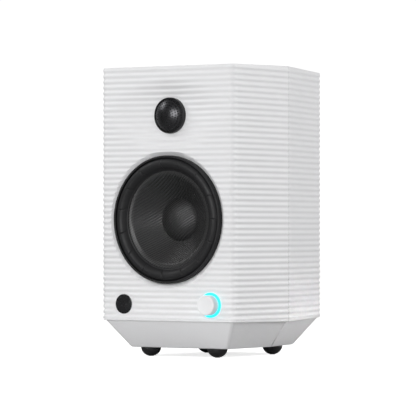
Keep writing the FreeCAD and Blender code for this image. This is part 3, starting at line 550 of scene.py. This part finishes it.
def ribs_left(x, z):
    """Share of the ribbing that is left: none at the rims of the small round parts."""
    left = np.ones(len(x))
    for centre, node in ((TWEETER, "tweeter_rim"), (WINDOW, "ir_window"), (KNOB, "light_ring")):
        away = np.hypot(x - centre.x, z - centre.z) - half_width(node)
        left = np.minimum(left, np.clip((away - RIB_FADE_START) / RIB_FADE, 0, 1))
    return left


def rib_rows():
    """Every row of the ribbed wall: height, depth behind the crests, and share of the crown's rise.
    EDGE_ROWS round the top and the bottom edge, as shares of a quarter rib and depths in mm."""
    strip = RIB_PITCH / 4
    low = [(BODY_BOTTOM + strip * share, depth * MM, share - 1) for share, depth in EDGE_ROWS]
    high = [(BODY_TOP - strip * share, depth * MM, 1 - share) for share, depth in EDGE_ROWS[::-1]]
    waves = []
    quarter = ROWS_PER_RIB // 4
    for row in range(quarter, RIBS * ROWS_PER_RIB - quarter + 1):
        z = BODY_BOTTOM + (BODY_TOP - BODY_BOTTOM) * row / (RIBS * ROWS_PER_RIB)
        waves.append((z, rib_wave(z), 0.0))
    return low + waves + high


def ribbed_solid(name, columns, with_dish):
    """The upright body of a shell, ribbed outside, before it is hollowed."""
    loops = []
    rise = crown_rise(columns[:, 1])
    for z, row_depth, share in rib_rows():
        depth = np.full(len(columns), row_depth)
        if with_dish:
            facing = columns[:, 3] < -0.999
            left = np.where(facing, ribs_left(columns[:, 0], z), 1)
            depth = RIB_DEPTH + (depth - RIB_DEPTH) * left
            depth = depth + np.where(facing, dish_depth(columns[:, 0], z), 0)
        at_seam = np.abs(columns[:, 2]) > 0.9999
        inward = columns[:, :2] - columns[:, 2:] * depth[:, None]
        inward[at_seam, 1] = columns[at_seam, 1]
        loops.append(np.column_stack([inward, z + rise * share]))
    return stacked(name, loops)


def plan_solid(name, columns_at, rows):
    """A solid through plan outlines: rows of (inset, inset of the back, corner radius, height)."""
    loops = []
    for inset, back_inset, radius, z in rows:
        columns = columns_at(inset, radius, back_inset)
        loops.append(np.column_stack([columns[:, :2], np.full(len(columns), z)]))
    return stacked(name, loops)


def skirt_row(rise, shrink, radius):
    """The skirt's outline at a height over its lower edge, drawn in by shrink."""
    share = rise / (BODY_BOTTOM - SKIRT_BOTTOM)
    side = SKIRT_TAPER + (SKIRT_STEP - SKIRT_TAPER) * share
    back = SKIRT_BACK_TAPER + (SKIRT_STEP - SKIRT_BACK_TAPER) * share
    return side + shrink, back + shrink, radius, SKIRT_BOTTOM + rise


def shell(name, solid, columns_at, inside_at, pads, holes):
    """Join the skirt to a ribbed solid, hollow both, add the pads inside, and cut the holes."""
    height = BODY_BOTTOM - SKIRT_BOTTOM
    skirt = plan_solid(name + "_skirt", columns_at, [
        skirt_row(0, 1.2 * MM, SKIRT_CORNER),
        skirt_row(0.3 * MM, 0.4 * MM, SKIRT_CORNER),
        skirt_row(1.2 * MM, 0, SKIRT_CORNER),
        skirt_row(height, 0, SKIRT_CORNER),
        (SKIRT_STEP, SKIRT_STEP, SKIRT_CORNER, BODY_BOTTOM + 2 * MM),
    ])
    carve(solid, [skirt], "UNION")
    cavity = plan_solid(name + "_cavity", inside_at, [
        (WALL, WALL, INNER_CORNER, BODY_BOTTOM + 4 * MM),
        (WALL, WALL, INNER_CORNER, BODY_TOP - WALL),
    ])
    hollow = plan_solid(name + "_hollow", inside_at, [
        skirt_row(SKIRT_WALL, SKIRT_WALL, INNER_CORNER),
        skirt_row(height - CROWN - 1 * MM, SKIRT_WALL, INNER_CORNER),
    ])
    carve(solid, [cavity, hollow])
    if pads:
        carve(solid, pads, "UNION")
    return carve(solid, holes)


def bore(name, centre, radius, start, end, count=96):
    """A cylinder along Y between two depths, used to cut with."""
    return stacked(name, [circle(centre, radius, start, count), circle(centre, radius, end, count)])


def bevelled_bore(name):
    """The woofer's opening: a conical bevel and then a straight bore."""
    slope = (BEVEL_RADIUS - WOOFER_RADIUS) / BEVEL_DEPTH
    gap = 0.1 * MM
    rows = [(BEVEL_RADIUS + slope * 2 * MM, -2 * MM), (WOOFER_RADIUS + gap, BEVEL_DEPTH),
            (WOOFER_RADIUS + gap, 30 * MM)]
    return stacked(name, [circle(WOOFER, radius, depth, 192) for radius, depth in rows])


def front_shell():
    """The front half of the cabinet, with its waveguide and its four round openings."""
    seam = GASKET_LOW.y
    columns = front_columns(0, CORNER, seam, runs=72)
    solid = ribbed_solid("front_shell_piece", columns, True)
    gap = 0.05 * MM
    holes = [
        bevelled_bore("woofer_cut"),
        bore("tweeter_cut", TWEETER, TWEETER_RADIUS + 0.1 * MM, -2 * MM, 30 * MM),
        bore("knob_cut", KNOB, half_width("light_ring") + gap, -2 * MM, 10 * MM),
        bore("window_cut", WINDOW, half_width("ir_window") + gap, -2 * MM, 10 * MM),
    ]

    def outside(inset, radius, back_inset):
        return front_columns(inset, radius, seam)

    def inside(inset, radius, back_inset):
        columns = front_columns(inset, radius, seam + CUT_MARGIN)
        if inset == WALL:
            columns[:, 1] = np.maximum(columns[:, 1], FRONT + PAD_DEPTH)
        return columns

    pads = [bore("tweeter_pad", TWEETER, 34 * MM, PAD_DEPTH - 0.5 * MM, 15 * MM)]
    piece = shell("front", solid, outside, inside, pads, holes)
    finished(piece, "root", "white_plastic", "front_shell")


def rear_shell():
    """The rear half of the cabinet, with the panel's recess and window and the port's hole."""
    seam = GASKET_HIGH.y
    solid = ribbed_solid("rear_shell_piece", rear_columns(0, CORNER, seam, 0), False)
    panel_low, panel_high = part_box("rear_panel")
    gap = 0.3 * MM
    ledge = 6 * MM
    reach = 20 * MM
    port_hole = 23.6 * MM
    holes = [
        box_solid("panel_cut", (panel_low.x - gap, panel_low.y, panel_low.z - gap),
                  (panel_high.x + gap, BACK + CUT_MARGIN, panel_high.z + gap)),
        box_solid("panel_window", (panel_low.x + ledge, BACK - reach, panel_low.z + ledge),
                  (panel_high.x - ledge, BACK + CUT_MARGIN, panel_high.z - ledge)),
        bore("port_cut", PORT, port_hole, BACK - FRONT - reach, BACK - FRONT + CUT_MARGIN),
    ]

    def outside(inset, radius, back_inset):
        return rear_columns(inset, radius, seam, back_inset)

    def inside(inset, radius, back_inset):
        return rear_columns(inset, radius, seam - CUT_MARGIN, back_inset)

    piece = shell("rear", solid, outside, inside, [], holes)
    finished(piece, "root", "white_plastic", "rear_shell")


# ---------------------------------------------------------------- woofer

# Radii in mm
SURROUND_IN = 56.3
SURROUND_OUT = 70.9
CONE_OUT = 56.0
CONE_IN = 19.9
STRIPES_OUT = 51.4
CREASES = 15


def radial_blend(item):
    """Bake a round flexing piece's placement into its mesh; it is not tied to any body."""
    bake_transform(item)


def stripe_ridges(x, z):
    """The height of the twill ridges at a place in the front view."""
    across = (z - WOOFER.z) * math.cos(STRIPE_ANGLE) - (x - WOOFER.x) * math.sin(STRIPE_ANGLE)
    return 0.5 + 0.5 * np.cos(TURN * across / STRIPE_PITCH)


def turned_relief(name, front_profile, back_profile, relief, count):
    """A thin turned skin whose front surface is raised by relief(x, z, radius)."""
    loops = []
    for radius, depth in front_profile:
        loop = circle(WOOFER, radius * MM, depth * MM, count)
        loop[:, 1] -= relief(loop[:, 0], loop[:, 2], radius)
        loops.append(loop)
    loops += [circle(WOOFER, radius * MM, depth * MM, count) for radius, depth in back_profile]
    return stacked(name, loops, closed=True)


def woofer_cone():
    """The cone: a plain outer band, then twill ridges down to the dust cap. Depths in mm."""
    edge = depths("woofer_cone")[0] + 0.3
    shoulder = edge + 1.3
    neck = shoulder + 25.3
    front = [(CONE_OUT + (STRIPES_OUT - CONE_OUT) * share, edge + (shoulder - edge) * share ** 2)
             for share in (0, 0.08, 0.3, 0.6, 0.85, 0.96)]
    for step in range(81):
        share = step / 80
        bow = 0.12 * share * (1 - share)
        front.append((STRIPES_OUT + (CONE_IN - STRIPES_OUT) * share,
                      shoulder + (neck - shoulder) * (share + bow)))
    back = [(radius, depth + 0.9) for radius, depth in front[::-8]]

    def relief(x, z, radius):
        fade = np.clip((STRIPES_OUT - radius) / 0.8, 0, 1)
        return 0.36 * MM * fade * stripe_ridges(x, z)

    piece = turned_relief("cone_piece", front, back, relief, 480)
    finished(piece, "woofer_moving", "cone_fibre", "woofer_cone", sharp=60)


def dust_cap():
    """The cap over the coil, with the cone's ridges. Lengths in mm."""
    rise = 9.0
    base = half_width("woofer_dust_cap") / MM
    crest = depths("woofer_dust_cap")[0]
    front = [(max(radius, 0.05), depth + 0.3) for radius, depth in dome(base, rise, crest + rise, 40)]
    back = [(radius * 0.97 + 0.02, depth + 0.8) for radius, depth in front[::-5]]

    def relief(x, z, radius):
        fade = np.clip((base - 0.6 - radius) / 0.6, 0, 1)
        return 0.3 * MM * fade * stripe_ridges(x, z)

    piece = turned_relief("dust_cap_piece", front, back, relief, 360)
    finished(piece, "woofer_moving", "cone_fibre", "woofer_dust_cap", sharp=60)


def crease_places():
    """Slightly uneven radial creases: angle, lean and bow across the roll, in radians."""
    seeded = random.Random(4)
    places = []
    for index in range(CREASES):
        angle = TURN * (index + 0.06 + 0.05 * seeded.uniform(-1, 1)) / CREASES
        places.append((angle, seeded.uniform(0.01, 0.07), seeded.uniform(-0.14, -0.04)))
    return places


def surround():
    """The rubber half-roll with its creases, and a lip at both edges. Profile in mm."""
    count = 960
    angles = np.arange(count) * TURN / count
    creases = crease_places()
    roll_in = 57.4
    roll_out = 70.3
    base_in = 3.1
    base_out = 0.6
    roll_rise = 4.5
    crease_depth = 0.8 * MM
    crease_half_width = 0.5
    step_depth = 0.25 * MM
    profile = [(SURROUND_IN, 3.5), (56.7, 3.15)]
    steps = 26
    for step in range(steps + 1):
        share = step / steps
        base = base_in + (base_out - base_in) * share
        profile.append((roll_in + (roll_out - roll_in) * share,
                        base - roll_rise * math.sin(math.pi * share) ** 0.8))
    crested = len(profile)
    profile += [(70.7, 0.9), (SURROUND_OUT, 1.5), (SURROUND_OUT, 11.7), (69.3, 11.7), (69.0, 2.4),
                (67.5, 0.8), (64.0, -1.2), (60.5, 1.4), (59.0, 3.4), (SURROUND_IN, 4.5)]
    loops = []
    for index, (radius, depth) in enumerate(profile):
        loop = circle(WOOFER, radius * MM, depth * MM, count)
        share = (radius - roll_in) / (roll_out - roll_in)
        if 0 < share < 1 and index < crested:
            envelope = math.sin(math.pi * share) ** 0.5
            for angle, lean, bow in creases:
                line = angle + lean * (share - 0.5) + bow * (share - 0.5) ** 2
                away = (angles - line + math.pi) % TURN - math.pi
                arc = away * radius
                loop[:, 1] += crease_depth * envelope * np.exp(-(arc / crease_half_width) ** 2)
                loop[:, 1] += step_depth * envelope * np.tanh(arc / 0.9) * np.exp(-(arc / 7.0) ** 2)
        loops.append(loop)
    piece = stacked("surround_piece", loops, closed=True)
    finished(piece, None, "black_rubber", "woofer_surround", sharp=60)
    radial_blend(piece)


def spider():
    """The corrugated disc that centres the former. Lengths in mm."""
    outer = half_width("woofer_spider") / MM
    inner = CONE_IN + 0.3
    crests = 6
    steps = 12 * crests
    thickness = 0.5
    level = sum(depths("woofer_spider")) / 2 - 0.3
    front = []
    for step in range(steps + 1):
        share = step / steps
        wave = 0.8 * math.sin(TURN * crests * share)
        front.append((inner + (outer - inner) * share, level + wave))
    back = [(radius, depth + thickness) for radius, depth in front[::-1]]
    loops = [circle(WOOFER, radius * MM, depth * MM, 128) for radius, depth in front + back]
    piece = stacked("spider_piece", loops, closed=True)
    finished(piece, None, "spider_fabric", "woofer_spider", sharp=60)
    radial_blend(piece)


def woofer_gasket():
    """A soft ring, a little swollen between the flange and the shell."""
    outer = half_width("woofer_gasket") / MM
    piece = ring("woofer_gasket_piece", band(outer, 7.5, *depths("woofer_gasket")), WOOFER, 0.9, 128)
    finished(piece, "root", "foam", "woofer_gasket", sharp=60)


def woofer_rim():
    """The black ring that frames the surround, down to the basket's flange."""
    outline = band(WOOFER_RADIUS / MM, 2.5, depths("woofer_rim")[0], 12.0)
    piece = ring("rim_piece", outline, WOOFER, 0.8, 192)
    finished(piece, "root", "black_rubber", "woofer_rim")


# ---------------------------------------------------------------- tweeter


def combined(name, parts):
    """One mesh out of several closed ones, which are removed."""
    joined = bmesh.new()
    for part in parts:
        joined.from_mesh(part.data)
        bpy.data.objects.remove(part)
    mesh = bpy.data.meshes.new(name)
    joined.to_mesh(mesh)
    joined.free()
    return linked(name, mesh)


def tweeter_grille():
    """A domed sheet with rings of round holes. Lengths in mm."""
    base = half_width("tweeter_grille") / MM
    crest = depths("tweeter_grille")[0]
    rise = 7.1
    outer = dome(base, rise, crest + rise, 28)
    inner = [(radius * 0.975, depth + 0.6) for radius, depth in outer[::-1]]
    piece = turned_solid("grille_piece", outer + inner, TWEETER, 144)
    hole_radius = 0.8
    pitch = 2.95
    rings = 6
    places = [(0.0, 0.0)]
    for index in range(1, rings + 1):
        count = round(6.3 * index)
        for step in range(count):
            places.append((pitch * index, TURN * (step + 0.5 * (index % 2)) / count))
    cutters = []
    for radius, angle in places:
        centre = TWEETER + Vector((radius * MM * math.cos(angle), 0, radius * MM * math.sin(angle)))
        cutters.append(bore("hole", centre, hole_radius * MM, (crest - 2) * MM, (crest + 10) * MM, 14))
    carve(piece, [combined("holes", cutters)])
    finished(piece, "root", "grille_metal", "tweeter_grille")


def tweeter_rim():
    """The ring that holds the grille."""
    outline = band(TWEETER_RADIUS / MM, 1.2, *depths("tweeter_rim"))
    piece = ring("tweeter_rim_piece", outline, TWEETER, 0.4, 120)
    finished(piece, "root", "black_plastic", "tweeter_rim")


def tweeter_surround():
    """The small roll round the tweeter's dome. Lengths in mm."""
    start, end = depths("tweeter_surround")
    outer = half_width("tweeter_surround") / MM
    width = 2.4
    edge = end - 0.4
    rise = end - start - 0.7
    front = []
    for step in range(17):
        share = step / 16
        front.append((outer - width * share, edge - rise * math.sin(math.pi * share)))
    back = [(radius, depth + 0.3) for radius, depth in front[::-1]]
    loops = [circle(TWEETER, radius * MM, depth * MM, 96) for radius, depth in front + back]
    piece = stacked("tweeter_surround_piece", loops, closed=True)
    finished(piece, None, "black_rubber", "tweeter_surround", sharp=60)
    radial_blend(piece)


# ---------------------------------------------------------------- controls and feet


def volume_knob():
    """The knob: a flat face with a fine raised edge that is rounded over to the side. In mm."""
    radius = half_width("volume_knob") / MM
    face, base = depths("volume_knob")
    edge = 1.1
    profile = [(0, face + 0.15), (radius - 2.2, face + 0.15), (radius - 1.6, face + 0.02)]
    for step in range(9):
        angle = math.pi / 2 * step / 8
        profile.append((radius - edge + edge * math.sin(angle), face + edge - edge * math.cos(angle)))
    profile += [(radius, base - 0.3), (radius - 0.3, base), (0, base)]
    piece = turned_solid("knob_piece", profile, KNOB, 128)
    finished(piece, "knob", "knob_plastic", "volume_knob")


def light_ring():
    """The clear ring in the front, with a floor behind the knob that its shaft goes through. In mm."""
    radius = half_width("light_ring") / MM
    inner = half_width("volume_knob") / MM + 0.3
    shaft_hole = 5.5
    front, floor, back = 0.15, 3.5, 5.5
    outline = [(inner, front), (radius, front), (radius, back), (shaft_hole, back), (shaft_hole, floor),
               (inner, floor)]
    piece = ring("light_ring_piece", outline, KNOB, 0.3, 128)
    finished(piece, "root", "lamp_plastic", "light_ring")


def ir_window():
    """A dark disc with a softened edge."""
    radius = half_width("ir_window") / MM
    front, back = depths("ir_window")
    profile = [(0, front), (radius - 0.5, front + 0.03), (radius - 0.15, front + 0.15), (radius, front + 0.5),
               (radius, back), (0, back)]
    piece = turned_solid("window_piece", profile, WINDOW, 96)
    finished(piece, "root", "window_plastic", "ir_window")


def foot(end, side):
    """A domed rubber foot, flat where it stands, with its push-in stem."""
    node = "foot_%s_%s" % (end, side)
    low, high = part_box(node)
    centre = (low + high) / 2
    radius = (high.x - low.x) / 2
    top = SKIRT_BOTTOM
    flat = 3 * MM
    stem = 5 * MM
    profile = [(flat, low.z)]
    for step in range(1, 25):
        angle = math.pi / 2 * step / 24
        profile.append((radius * math.sin(angle), top - (top - low.z) * math.cos(angle)))
    profile = [(reach, z) for reach, z in profile if reach >= flat]
    profile += [(radius, top), (stem, top), (stem, high.z)]
    count = 64
    angles = np.arange(count) * TURN / count
    loops = []
    for reach, z in profile:
        loops.append(np.column_stack([centre.x + reach * np.cos(angles), centre.y + reach * np.sin(angles),
                                      np.full(count, z)]))
    piece = stacked(node + "_piece", loops)
    finished(piece, "root", "black_rubber", node)


# ---------------------------------------------------------------- back and inside

BACK_DEPTH = (BACK - FRONT) / MM


def port():
    """The reflex port with a rounded flare. Lengths in mm."""
    start, end = depths("port_tube")
    bore_radius = 21.0
    outer = 23.5
    flange = 29.0
    flare = 8.0
    profile = [(bore_radius, start)]
    for step in range(9):
        angle = math.pi / 2 * step / 8
        profile.append((flange - flare * math.cos(angle), end - flare + 7.6 * math.sin(angle)))
    profile += [(flange - 0.1, end - 0.1), (flange, end - 0.9), (flange - 0.2, BACK_DEPTH + 0.02),
                (outer, BACK_DEPTH), (outer, start)]
    loops = [circle(PORT, radius * MM, depth * MM, 96) for radius, depth in profile]
    piece = stacked("port_piece", loops, closed=True)
    finished(piece, "root", "black_plastic", "port_tube")


def panel_screws():
    """Pan heads with a cross recess, on their threaded shanks. Lengths in mm."""
    low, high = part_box("panel_screws")
    tip, head = depths("panel_screws")
    face = head - 1.8
    screw_radius = 3.0
    crest = 1.45
    root = 1.1
    half_length = 1.4
    half_slot = 0.35
    recess = 0.9
    profile = [(0, head), (1.2, head - 0.03), (2.1, head - 0.35), (2.8, head - 1.0),
               (screw_radius, face + 0.2), (2.8, face), (1.4, face)]
    turns = 8
    for step in range(turns):
        along = face - 0.3 - (face - tip - 1.2) * step / turns
        profile += [(crest, along), (root, along - 0.3)]
    profile += [(0.9, tip + 0.4), (0, tip)]
    side = high.x - screw_radius * MM
    heights = (low.z + screw_radius * MM, (low.z + high.z) / 2, high.z - screw_radius * MM)
    bottom = FRONT + (head - recess) * MM
    above = FRONT + (head + 1) * MM
    pieces = []
    for x in (-side, side):
        for z in heights:
            screw = turned_solid("screw", profile[::-1], Vector((x, 0, z)), 48)
            slots = []
            for across, upward in ((half_length, half_slot), (half_slot, half_length)):
                slots.append(box_solid("slot", (x - across * MM, bottom, z - upward * MM),
                                       (x + across * MM, above, z + upward * MM)))
            pieces.append(carve(screw, slots))
    finished(combined("panel_screws_piece", pieces), "root", "steel", "panel_screws")


def line_input(side, insert):
    """A phono socket: a gold barrel with a round flange and a coloured insert. Lengths in mm."""
    node = "line_input_" + side
    centre = middle(node)
    start, end = depths(node)
    face = BACK_DEPTH - 0.4
    body = 4.7
    barrel = 4.1
    socket = 3.2
    profile = [(0, start), (body, start + 0.2), (body, face), (5.1, face), (6.2, face + 0.1),
               (6.3, face + 1.1), (4.4, face + 1.2), (barrel, face + 1.5), (barrel, end - 0.4), (3.8, end),
               (3.3, end), (socket, end - 0.6), (socket, face), (0, face)]
    finished(turned_solid(node + "_barrel", profile, centre, 72), "root", "jack_metal", node)
    outline = [(1.7, face + 0.1), (3.1, face + 0.1), (3.1, end - 0.5), (1.7, end - 0.5)]
    piece = ring(node + "_insert", outline, centre, 0.25, 64)
    finished(piece, "root", "white_plastic", node, material=insert)


def seam_gasket():
    """The foam strip in the parting line: a flattened oval carried round a rounded rectangle."""
    margin = 1.5 * MM
    half = GASKET_HIGH.x - margin
    bottom = GASKET_LOW.z + margin
    top = GASKET_HIGH.z - margin
    seam = (GASKET_LOW.y + GASKET_HIGH.y) / 2
    half_height = 1.45 * MM
    half_thickness = 0.24 * MM
    corner = 6 * MM
    path = []
    for turn, (x, z) in enumerate(((half, bottom), (half, top), (-half, top), (-half, bottom))):
        first = math.radians(90 * turn - 90)
        centre = (x - math.copysign(corner, x), z + (corner if z == bottom else -corner))
        for step in range(7):
            angle = first + math.pi / 2 * step / 6
            path.append((centre, math.cos(angle), math.sin(angle)))
    loops = []
    for centre, across, upward in path:
        loop = []
        for step in range(12):
            angle = TURN * step / 12
            reach = corner + half_height * math.cos(angle)
            loop.append((centre[0] + across * reach, seam + half_thickness * math.sin(angle),
                         centre[1] + upward * reach))
        loops.append(loop)
    finished(stacked("seam_gasket_piece", loops, closed=True), "root", "foam", "seam_gasket", sharp=60)


def damping_pad(side):
    """A foam pad with moulded waves on its inner side and soft edges."""
    low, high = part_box("damping_pads")
    width = high.y - low.y
    height = high.z - low.z
    thickness = 8 * MM
    edge_width = 4 * MM
    edge_inset = 2.5 * MM
    half_wave = 1.2 * MM
    outer = high.x * side
    count_y = 40
    count_z = 110
    vertices = []
    for layer in (0, 1):
        for row in range(count_z + 1):
            for column in range(count_y + 1):
                across = column / count_y
                upward = row / count_z
                edge = min(across * width, (1 - across) * width, upward * height, (1 - upward) * height)
                soft = 1 - min(edge / edge_width, 1)
                inset = edge_inset * soft * soft
                dimple = 1 + math.cos(TURN * across * 3.5) * math.cos(TURN * upward * 10)
                wave = half_wave * (1 - soft) * dimple
                depth = inset if layer == 0 else thickness - inset - wave
                vertices.append((outer - side * depth, low.y + across * width, low.z + upward * height))
    faces = []
    layer_size = (count_y + 1) * (count_z + 1)
    for row in range(count_z):
        for column in range(count_y):
            corner = row * (count_y + 1) + column
            square = (corner, corner + 1, corner + count_y + 2, corner + count_y + 1)
            faces.append(square)
            faces.append(tuple(index + layer_size for index in square))
    rim = list(range(count_y))
    rim += [row * (count_y + 1) + count_y for row in range(count_z)]
    rim += [count_z * (count_y + 1) + column for column in range(count_y, 0, -1)]
    rim += [row * (count_y + 1) for row in range(count_z, 0, -1)]
    for index, corner in enumerate(rim):
        after = rim[(index + 1) % len(rim)]
        faces.append((corner, after, after + layer_size, corner + layer_size))
    name = "damping_pad_right" if side > 0 else "damping_pad_left"
    piece = mesh_object(name, vertices, faces)
    finished(piece, "root", "foam", "damping_pads", sharp=60)


# ---------------------------------------------------------------- stage


def shown_and_given(tree, shown, given, output):
    """Show the camera one shader, and let another one light the object."""
    path = tree.nodes.new("ShaderNodeLightPath")
    mix = tree.nodes.new("ShaderNodeMixShader")
    tree.links.new(path.outputs["Is Camera Ray"], mix.inputs[0])
    tree.links.new(given.outputs[0], mix.inputs[1])
    tree.links.new(shown.outputs[0], mix.inputs[2])
    tree.links.new(mix.outputs[0], tree.nodes[output].inputs["Surface"])


def floor_paint():
    """Pale paint that shows white but passes less light on to the object."""
    material = bpy.data.materials.new("floor_paint")
    material.use_nodes = True
    tree = material.node_tree
    shown = tree.nodes["Principled BSDF"]
    shown.inputs["Base Color"].default_value = (0.9, 0.9, 0.9, 1)
    shown.inputs["Roughness"].default_value = 0.9
    shown.inputs["Emission Color"].default_value = (1, 1, 1, 1)
    shown.inputs["Emission Strength"].default_value = 0.75
    passed = tree.nodes.new("ShaderNodeBsdfDiffuse")
    passed.inputs["Color"].default_value = (0.5, 0.5, 0.5, 1)
    shown_and_given(tree, shown, passed, "Material Output")
    return material


def stage():
    """The floor, a wide slab with its top at zero."""
    reach = 6
    loops = []
    for z in (-0.02, 0.0):
        loops.append([(-reach, -reach, z), (reach, -reach, z), (reach, reach, z), (-reach, reach, z)])
    floor = stacked("floor", loops)
    floor.data.materials.append(floor_paint())


def lamp(name, location, target, size, power, spread=180):
    """A rectangular light aimed at a point. Metres, watts, and the beam's spread in degrees."""
    light = bpy.data.lights.new(name, "AREA")
    light.shape = "RECTANGLE"
    light.size, light.size_y = size
    light.energy = power
    light.spread = math.radians(spread)
    item = linked(name, light)
    item.location = location
    item.rotation_euler = (Vector(target) - Vector(location)).to_track_quat("-Z", "Y").to_euler()


def studio():
    """White surroundings that give less light than they show, the soft lights, and two low narrow
    beams for the skirt."""
    world = bpy.data.worlds.new("studio")
    bpy.context.scene.world = world
    world.use_nodes = True
    tree = world.node_tree
    seen = tree.nodes["Background"]
    seen.inputs["Color"].default_value = (1, 1, 1, 1)
    seen.inputs["Strength"].default_value = 1.05
    given = tree.nodes.new("ShaderNodeBackground")
    given.inputs["Color"].default_value = (1, 1, 1, 1)
    given.inputs["Strength"].default_value = 0.33
    shown_and_given(tree, seen, given, "World Output")
    middle_height = (0, 0, 0.17)
    skirt = (0, 0, 0.03)
    lamp("front_box", (0.2, -1.93, 0.62), middle_height, (0.9, 0.9), 19.5)
    lamp("front_strip", (-0.1, -1.5, 0.06), skirt, (1.0, 0.05), 0.045, spread=8)
    lamp("side_box", (1.62, 1.02, 0.82), middle_height, (0.9, 0.9), 20.8)
    lamp("corner_strip", (1.6, -1.15, 0.45), middle_height, (0.06, 0.9), 2.5)
    lamp("rear_strip", (0.35, 1.6, 0.06), skirt, (0.6, 0.05), 0.045, spread=6)
    lamp("left_spot", (-0.72, -0.39, 0.74), middle_height, (0.3, 0.3), 1.4)
    bpy.context.scene.view_settings.view_transform = "Standard"


def camera():
    """A level camera, a little to the right of the front, with its view shifted up on to the cabinet."""
    lens = bpy.data.cameras.new("camera")
    item = linked("camera", lens)
    lens.sensor_width = 36
    lens.lens = 266.1
    lens.shift_y = 0.0566
    lens.clip_end = 50
    to_the_right = 2.0134
    before_the_front = 2.8929
    height = 0.1447
    azimuth = math.radians(34.06)
    item.location = (to_the_right, FRONT - before_the_front, height)
    item.rotation_euler = (math.pi / 2, 0, azimuth)
    bpy.context.scene.camera = item


# ---------------------------------------------------------------- build

camera()
studio()
stage()
paint_frame()
front_shell()
rear_shell()
seam_gasket()
woofer_rim()
surround()
woofer_cone()
dust_cap()
spider()
woofer_gasket()
tweeter_grille()
tweeter_rim()
tweeter_surround()
port()
panel_screws()
line_input("left", INSERT_WHITE)
line_input("right", INSERT_RED)
damping_pad(-1)
damping_pad(1)
volume_knob()
light_ring()
ir_window()
for end in ("front", "back"):
    for side in ("left", "right"):
        foot(end, side)
